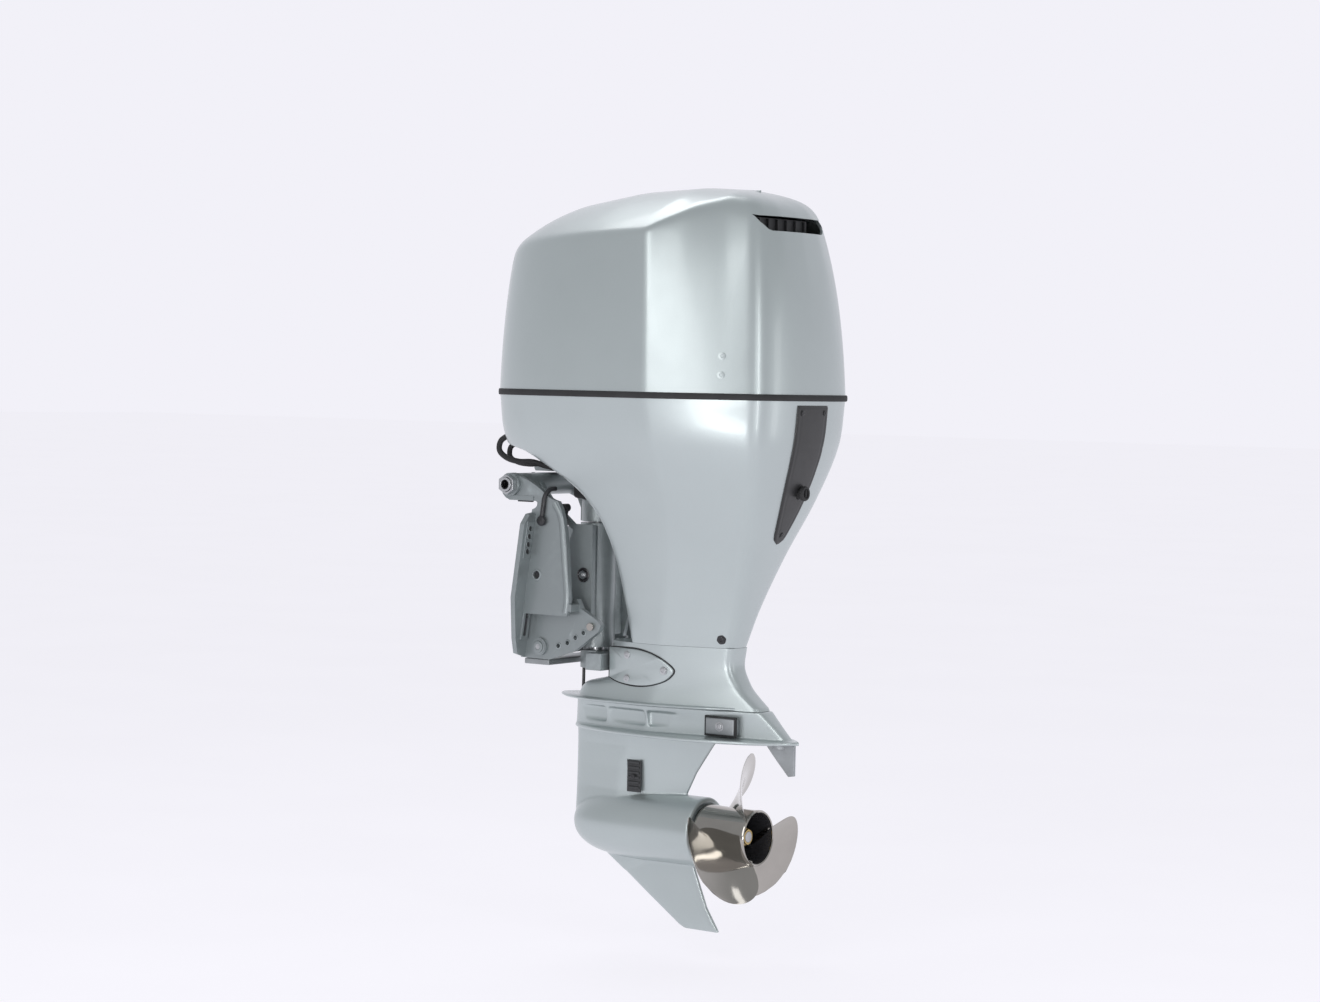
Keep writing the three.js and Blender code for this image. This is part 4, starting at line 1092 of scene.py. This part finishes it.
def tube(name, route, radius, count=40, sides=16):
    """A round bar along a smooth route, closed at both ends."""
    line = catmull(route, count)
    rings = []
    side = np.array([0.1, 0.2, 0.97])
    for k in range(count):
        along = line[min(k + 1, count - 1)] - line[max(k - 1, 0)]
        along /= np.linalg.norm(along)
        side = side - along * (side @ along)
        side /= np.linalg.norm(side)
        other = np.cross(along, side)
        turn = np.arange(sides) * 2 * math.pi / sides
        rings.append(line[k] + radius * (np.cos(turn)[:, None] * side + np.sin(turn)[:, None] * other))
    piece = skin(name, rings, caps=True)
    tidy_mesh(piece, 1e-7)
    return piece


def on_flange(piece):
    """Leans a piece made at X 0 onto the aft face of the clamp flange."""
    for vertex in piece.data.vertices:
        vertex.co.x += -vertex.co.z * math.tan(RAKE) - FLANGE_BACK * MM
    return piece


def bracket_details(sign):
    def outward(y):
        return sign * y

    def flange_box(name, y, z, proud, radius=1.0, depth=1.0):
        low, high = sorted((outward(y[0]), outward(y[1])))
        return rounded_box(name, (-proud, low, z[0]), (depth, high, z[1]), radius)

    plates = []
    tan = math.tan(RAKE)
    turn = Matrix.Rotation(-math.pi / 2, 4, "Y")
    for k, z in enumerate(BRACKET_BOLTS):
        plates.append(turned(f"boss_{k}", [(6.6, 0), (8.4, 0), (8.4, 1.2), (7.8, 1.6), (6.6, 1.6)], "z",
                             (0, 0, 0), 28))
        place = Vector((-z * tan - 12.2, outward(163.5), z)) * MM
        plates[-1].data.transform(Matrix.Translation(place) @ turn)
    border = flange_box("bolt_row_frame", (150, 177), (-126, -42), 1.4)
    border = cut(border, flange_box("bolt_row_inside", (152.5, 174.5), (-123.5, -44.5), 6, 0.6))
    rim = flange_box("slot_rim", (124, 149), (-310, -229), 3.0)
    rim = cut(rim, flange_box("slot_inside", SLOT_Y, SLOT_Z, 6, 0.6))
    plates += [on_flange(border), on_flange(rim)]
    plates.append(tube("web_rib", [(x + 7, outward(146), z) for x, z in WEB_RIB], 8.0, 48))
    ring = turned("ring", [(9.3, 0), (13.5, 0), (12.8, 2.0), (10.0, 2.4), (9.3, 2.0)], "y", (-14, 0, -162),
                  32)
    ring.data.transform(Matrix.Translation((0, outward(150) * MM, 0)) @ Matrix.Scale(sign, 4, (0, 1, 0)))
    plates.append(ring)
    for k, (x, z) in enumerate(((-56, -320), (-81, -312), (-103, -299), (-125, -287))):
        rim = turned(f"rim_{k}", [(5.1, 0), (8.0, 0), (7.4, 1.1), (5.4, 1.4), (5.1, 1.1)], "y", (x, 0, z), 24)
        rim.data.transform(Matrix.Translation((0, outward(120) * MM, 0)) @ Matrix.Scale(sign, 4, (0, 1, 0)))
        plates.append(rim)
    plates.append(bolt("pivot", (-5, outward(126), -325), (0, sign, 0), 13, 5, 24, 1.3))
    return plates


def make_brackets():
    for side, sign in (("port", 1), ("starboard", -1)):
        node = f"clamp_bracket_{side}"
        refined(node, "bracket", 2.2, f"clamp_bracket_{side}_casting", bracket_details(sign))
        # the black box set into the slot rim is painted shade: a dark sheet where the slot's opening is
        low, high = sorted((sign * (SLOT_Y[0] + 0.2), sign * (SLOT_Y[1] - 0.2)))
        slot_shade_and_caps = [on_flange(rounded_box("slot", (-1.2, low, SLOT_Z[0] + 0.2), (1, high, SLOT_Z[1] - 0.2),
                                       0.3))]
        for k, z in enumerate(BRACKET_BOLTS):
            slot_shade_and_caps.append(bolt(f"cap_{k}", (-z * math.tan(RAKE) - 8, sign * 163.5, z),
                              (-1, 0, -math.tan(RAKE)), 5.8, 3.2, 24, 1.05))
        caps = joined(*slot_shade_and_caps)
        # this piece holds the black bolt caps and the painted shade of the slot
        caps.name = f"clamp_bracket_{side}_caps"
        finished(caps, "black_paint", node, ())


make_brackets()

HARDWARE = {
    "tilt_tube": ("steel", 0.8), "tilt_tube_nut_port": ("steel", 1.4),
    "tilt_tube_nut_starboard": ("steel", 1.4), "hook_pad_port": ("rubber", 0.8),
    "hook_pad_starboard": ("rubber", 0.8), "lower_cross_tube": ("steel", 1.0),
    "tilt_stop_pin": ("stainless", 1.0), "bracket_anode": ("zinc", 2.0),
    "tilt_cylinder": ("black_paint", 1.5), "tilt_rod": ("stainless", 0.8),
    "tilt_pump_motor": ("black_paint", 1.5), "swivel_case": ("cast_silver", 2.4),
    "swivel_bushing_upper": ("plastic", 0.6), "swivel_bushing_lower": ("plastic", 0.6),
    "grease_fitting": ("steel", 0.6), "tilt_lock_lever": ("black_paint", 1.6),
    "power_tilt_switch": ("rubber", 1.5), "cowl_latch_lever": ("steel", 1.4), "trim_tab": ("zinc", 1.2),
    "air_intake_grille": ("plastic", 0.6), "steering_arm": ("cast_silver", 2.6),
    "pilot_shaft": ("steel", 1.0), "lower_yoke": ("cast_silver", 2.6),
    "bearing_carrier": ("cast_silver", 1.2), "mount_case": ("cast_silver", 3.0),
    "engine_block": ("iron", 3.5), "cylinder_head_cover": ("black_paint", 4.0),
    "intake_manifold": ("plastic", 3.0), "oil_filter": ("white", 3.0), "crankshaft": ("steel", 1.0),
    "flywheel": ("iron", 1.4), "drive_shaft": ("steel", 0.6), "pinion_gear": ("steel", 0.3),
    "forward_gear": ("steel", 0.4), "reverse_gear": ("steel", 0.4), "clutch_dog": ("steel", 0.6),
    "lower_shift_rod": ("steel", 0.5), "water_pump_housing": ("plastic", 1.0),
    "water_pump_impeller": ("rubber", 0.5), "prop_shaft": ("steel", 0.8),
}
for hardware, (hardware_material, hardware_bevel) in HARDWARE.items():
    refined(hardware, hardware_material, hardware_bevel)


def on_surface(piece, x, z, sign):
    """The place and the outward direction where a line across the motor meets a shell."""
    start = Vector((x * MM, sign * 0.6, z * MM))
    _, place, normal, _ = piece.ray_cast(start, Vector((0, -sign, 0)))
    return place / MM, normal


def make_flush_screws():
    for side, sign in (("port", 1), ("starboard", -1)):
        for k, z in enumerate((292, 332)):
            place, normal = on_surface(cowl, -541, z, sign)
            screw = bolt(f"cowl_screw_{side}_{k}", place - normal * 0.4, normal, 7.0, 1.9, 24, 1.25)
            finished(screw, "silver", "top_cowl", ())
        place, normal = on_surface(lower_shell, -445, -286, sign)
        head = bolt(f"cover_bolt_{side}", place - normal * 0.4, normal, 7.5, 4.0)
        finished(head, "black_paint", "lower_cover", ())


def make_dark_hardware_and_shade():
    """The lever over the port bracket, the boot round the steering arm and the rod by the lower mount, with
    black pieces painted as shade in the grease fitting's recess and in the bracket web holes.
    """
    lever = tube("bracket_lever",
                 [(-38, 118, 31), (-37, 136, 29), (-35, 151, 16), (-32, 154, -8), (-29, 154, -34)], 5.5)
    knob = turned("knob", [(0, -4), (7, -4), (11, -1.5), (12, 3), (10, 7), (5, 9), (0, 9)], "y",
                  (-28.5, 153, -40), 32)
    joined(lever, knob)
    finished(lever, "black_paint", "clamp_bracket_port", ())
    boot = rounded_box("steering_boot", (-176, -44, 8), (-30, 44, 60), 9)
    finished(boot, "rubber", "steering_arm", ())
    rod = tube("lower_mount_rod", [(-56, 22, -372), (-56, 22, -400), (-55, 22, -433)], 3.6, 12)
    finished(rod, "black_paint", "lower_yoke", ())
    # the black ring round the grease fitting is painted shade for its recess, made on the port side only
    recess_shade = turned("grease_fitting_recess_shade",
                    [(4.5, 78.4), (15, 78.4), (16.5, 80.5), (14.5, 81.5), (12, 79.6), (4.5, 79.4)],
                    "y", (-92, 0, -161), 32)
    finished(recess_shade, "black_paint", "swivel_case", ())
    # a black disc sunk in each web hole, inside its ring, is painted shade for the hole's dark inside
    for side, sign in (("port", 1), ("starboard", -1)):
        cap = turned(f"web_hole_shade_{side}", [(0, 139.5), (8.4, 139.5), (8.4, 144), (0, 143)], "y",
                     (-14, 0, -162), 28)
        if sign < 0:
            cap.data.transform(Matrix.Scale(-1, 4, (0, 1, 0)))
            tidy_mesh(cap, 1e-7)
        finished(cap, "black_paint", f"clamp_bracket_{side}", ())


make_flush_screws()
make_dark_hardware_and_shade()


# ---------------------------------------------------------------- room
def make_light(name, place, aim, width, height, power, color=(1, 1, 1)):
    data = bpy.data.lights.new(name, "AREA")
    data.shape = "RECTANGLE"
    data.size, data.size_y = width, height
    data.energy = power
    data.color = color
    lamp = bpy.data.objects.new(name, data)
    bpy.context.scene.collection.objects.link(lamp)
    lamp.location = place
    lamp.rotation_euler = (Vector(aim) - Vector(place)).to_track_quat("-Z", "Y").to_euler()
    lamp.visible_camera = False


def make_room():
    world = bpy.data.worlds.new("studio")
    bpy.context.scene.world = world
    world.use_nodes = True
    tree = world.node_tree
    background = tree.nodes["Background"]
    coords = tree.nodes.new("ShaderNodeTexCoord")
    # the sky is palest on one side and dimmer on the side that the paint reflects
    side = tree.nodes.new("ShaderNodeVectorMath")
    side.operation = "DOT_PRODUCT"
    side.inputs[1].default_value = (0.573, -0.8185, -0.04)
    tree.links.new(coords.outputs["Generated"], side.inputs[0])
    shade = tree.nodes.new("ShaderNodeValToRGB")
    shade.color_ramp.elements[0].position = 0.05
    shade.color_ramp.elements[0].color = (0.47, 0.48, 0.5, 1)
    shade.color_ramp.elements[1].position = 0.85
    shade.color_ramp.elements[1].color = (0.887, 0.879, 0.939, 1)
    tree.links.new(side.outputs["Value"], shade.inputs["Fac"])
    tree.links.new(shade.outputs["Color"], background.inputs["Color"])
    background.inputs["Strength"].default_value = 1.0
    make_light("key", (-0.6, 3.2, 1.2), (-0.3, 0, 0.2), 1.2, 2.4, 23)
    make_light("corner_strip", (-3.4, 1.5, 0.5), (-0.55, 0.1, 0.3), 0.25, 2.2, 14)
    make_light("aft_low", (-3.4, -1.6, 0.2), (-0.5, 0, 0.0), 0.5, 1.6, 4)
    make_light("top", (1.2, -0.7, 3.0), (-0.3, 0, 0.5), 1.6, 1.2, 14)
    make_light("low_fill", (-1.2, 2.8, -0.5), (-0.3, 0, -0.7), 0.9, 0.5, 9)
    material, tree, surface = shader("pale_floor", (0.3, 0.3, 0.32), 0.8)
    tree.links.new(ramp(tree, noise(tree, 1.5, 2), 0.4, 0.6, (0.295, 0.295, 0.315), (0.305, 0.305, 0.325)),
                   surface.inputs["Base Color"])
    surface.inputs["Emission Color"].default_value = (0.95, 0.935, 0.985, 1)
    surface.inputs["Emission Strength"].default_value = 0.74
    surface.inputs["Specular IOR Level"].default_value = 0.0
    size = 60000
    floor = object_of("floor",
                      [(-size, -size, -1010), (size, -size, -1010), (size, size, -1010),
                       (-size, size, -1010)],
                      [[0, 1, 2, 3]])
    floor.data.materials.append(material)
    bpy.context.scene.view_settings.view_transform = "Standard"


make_room()
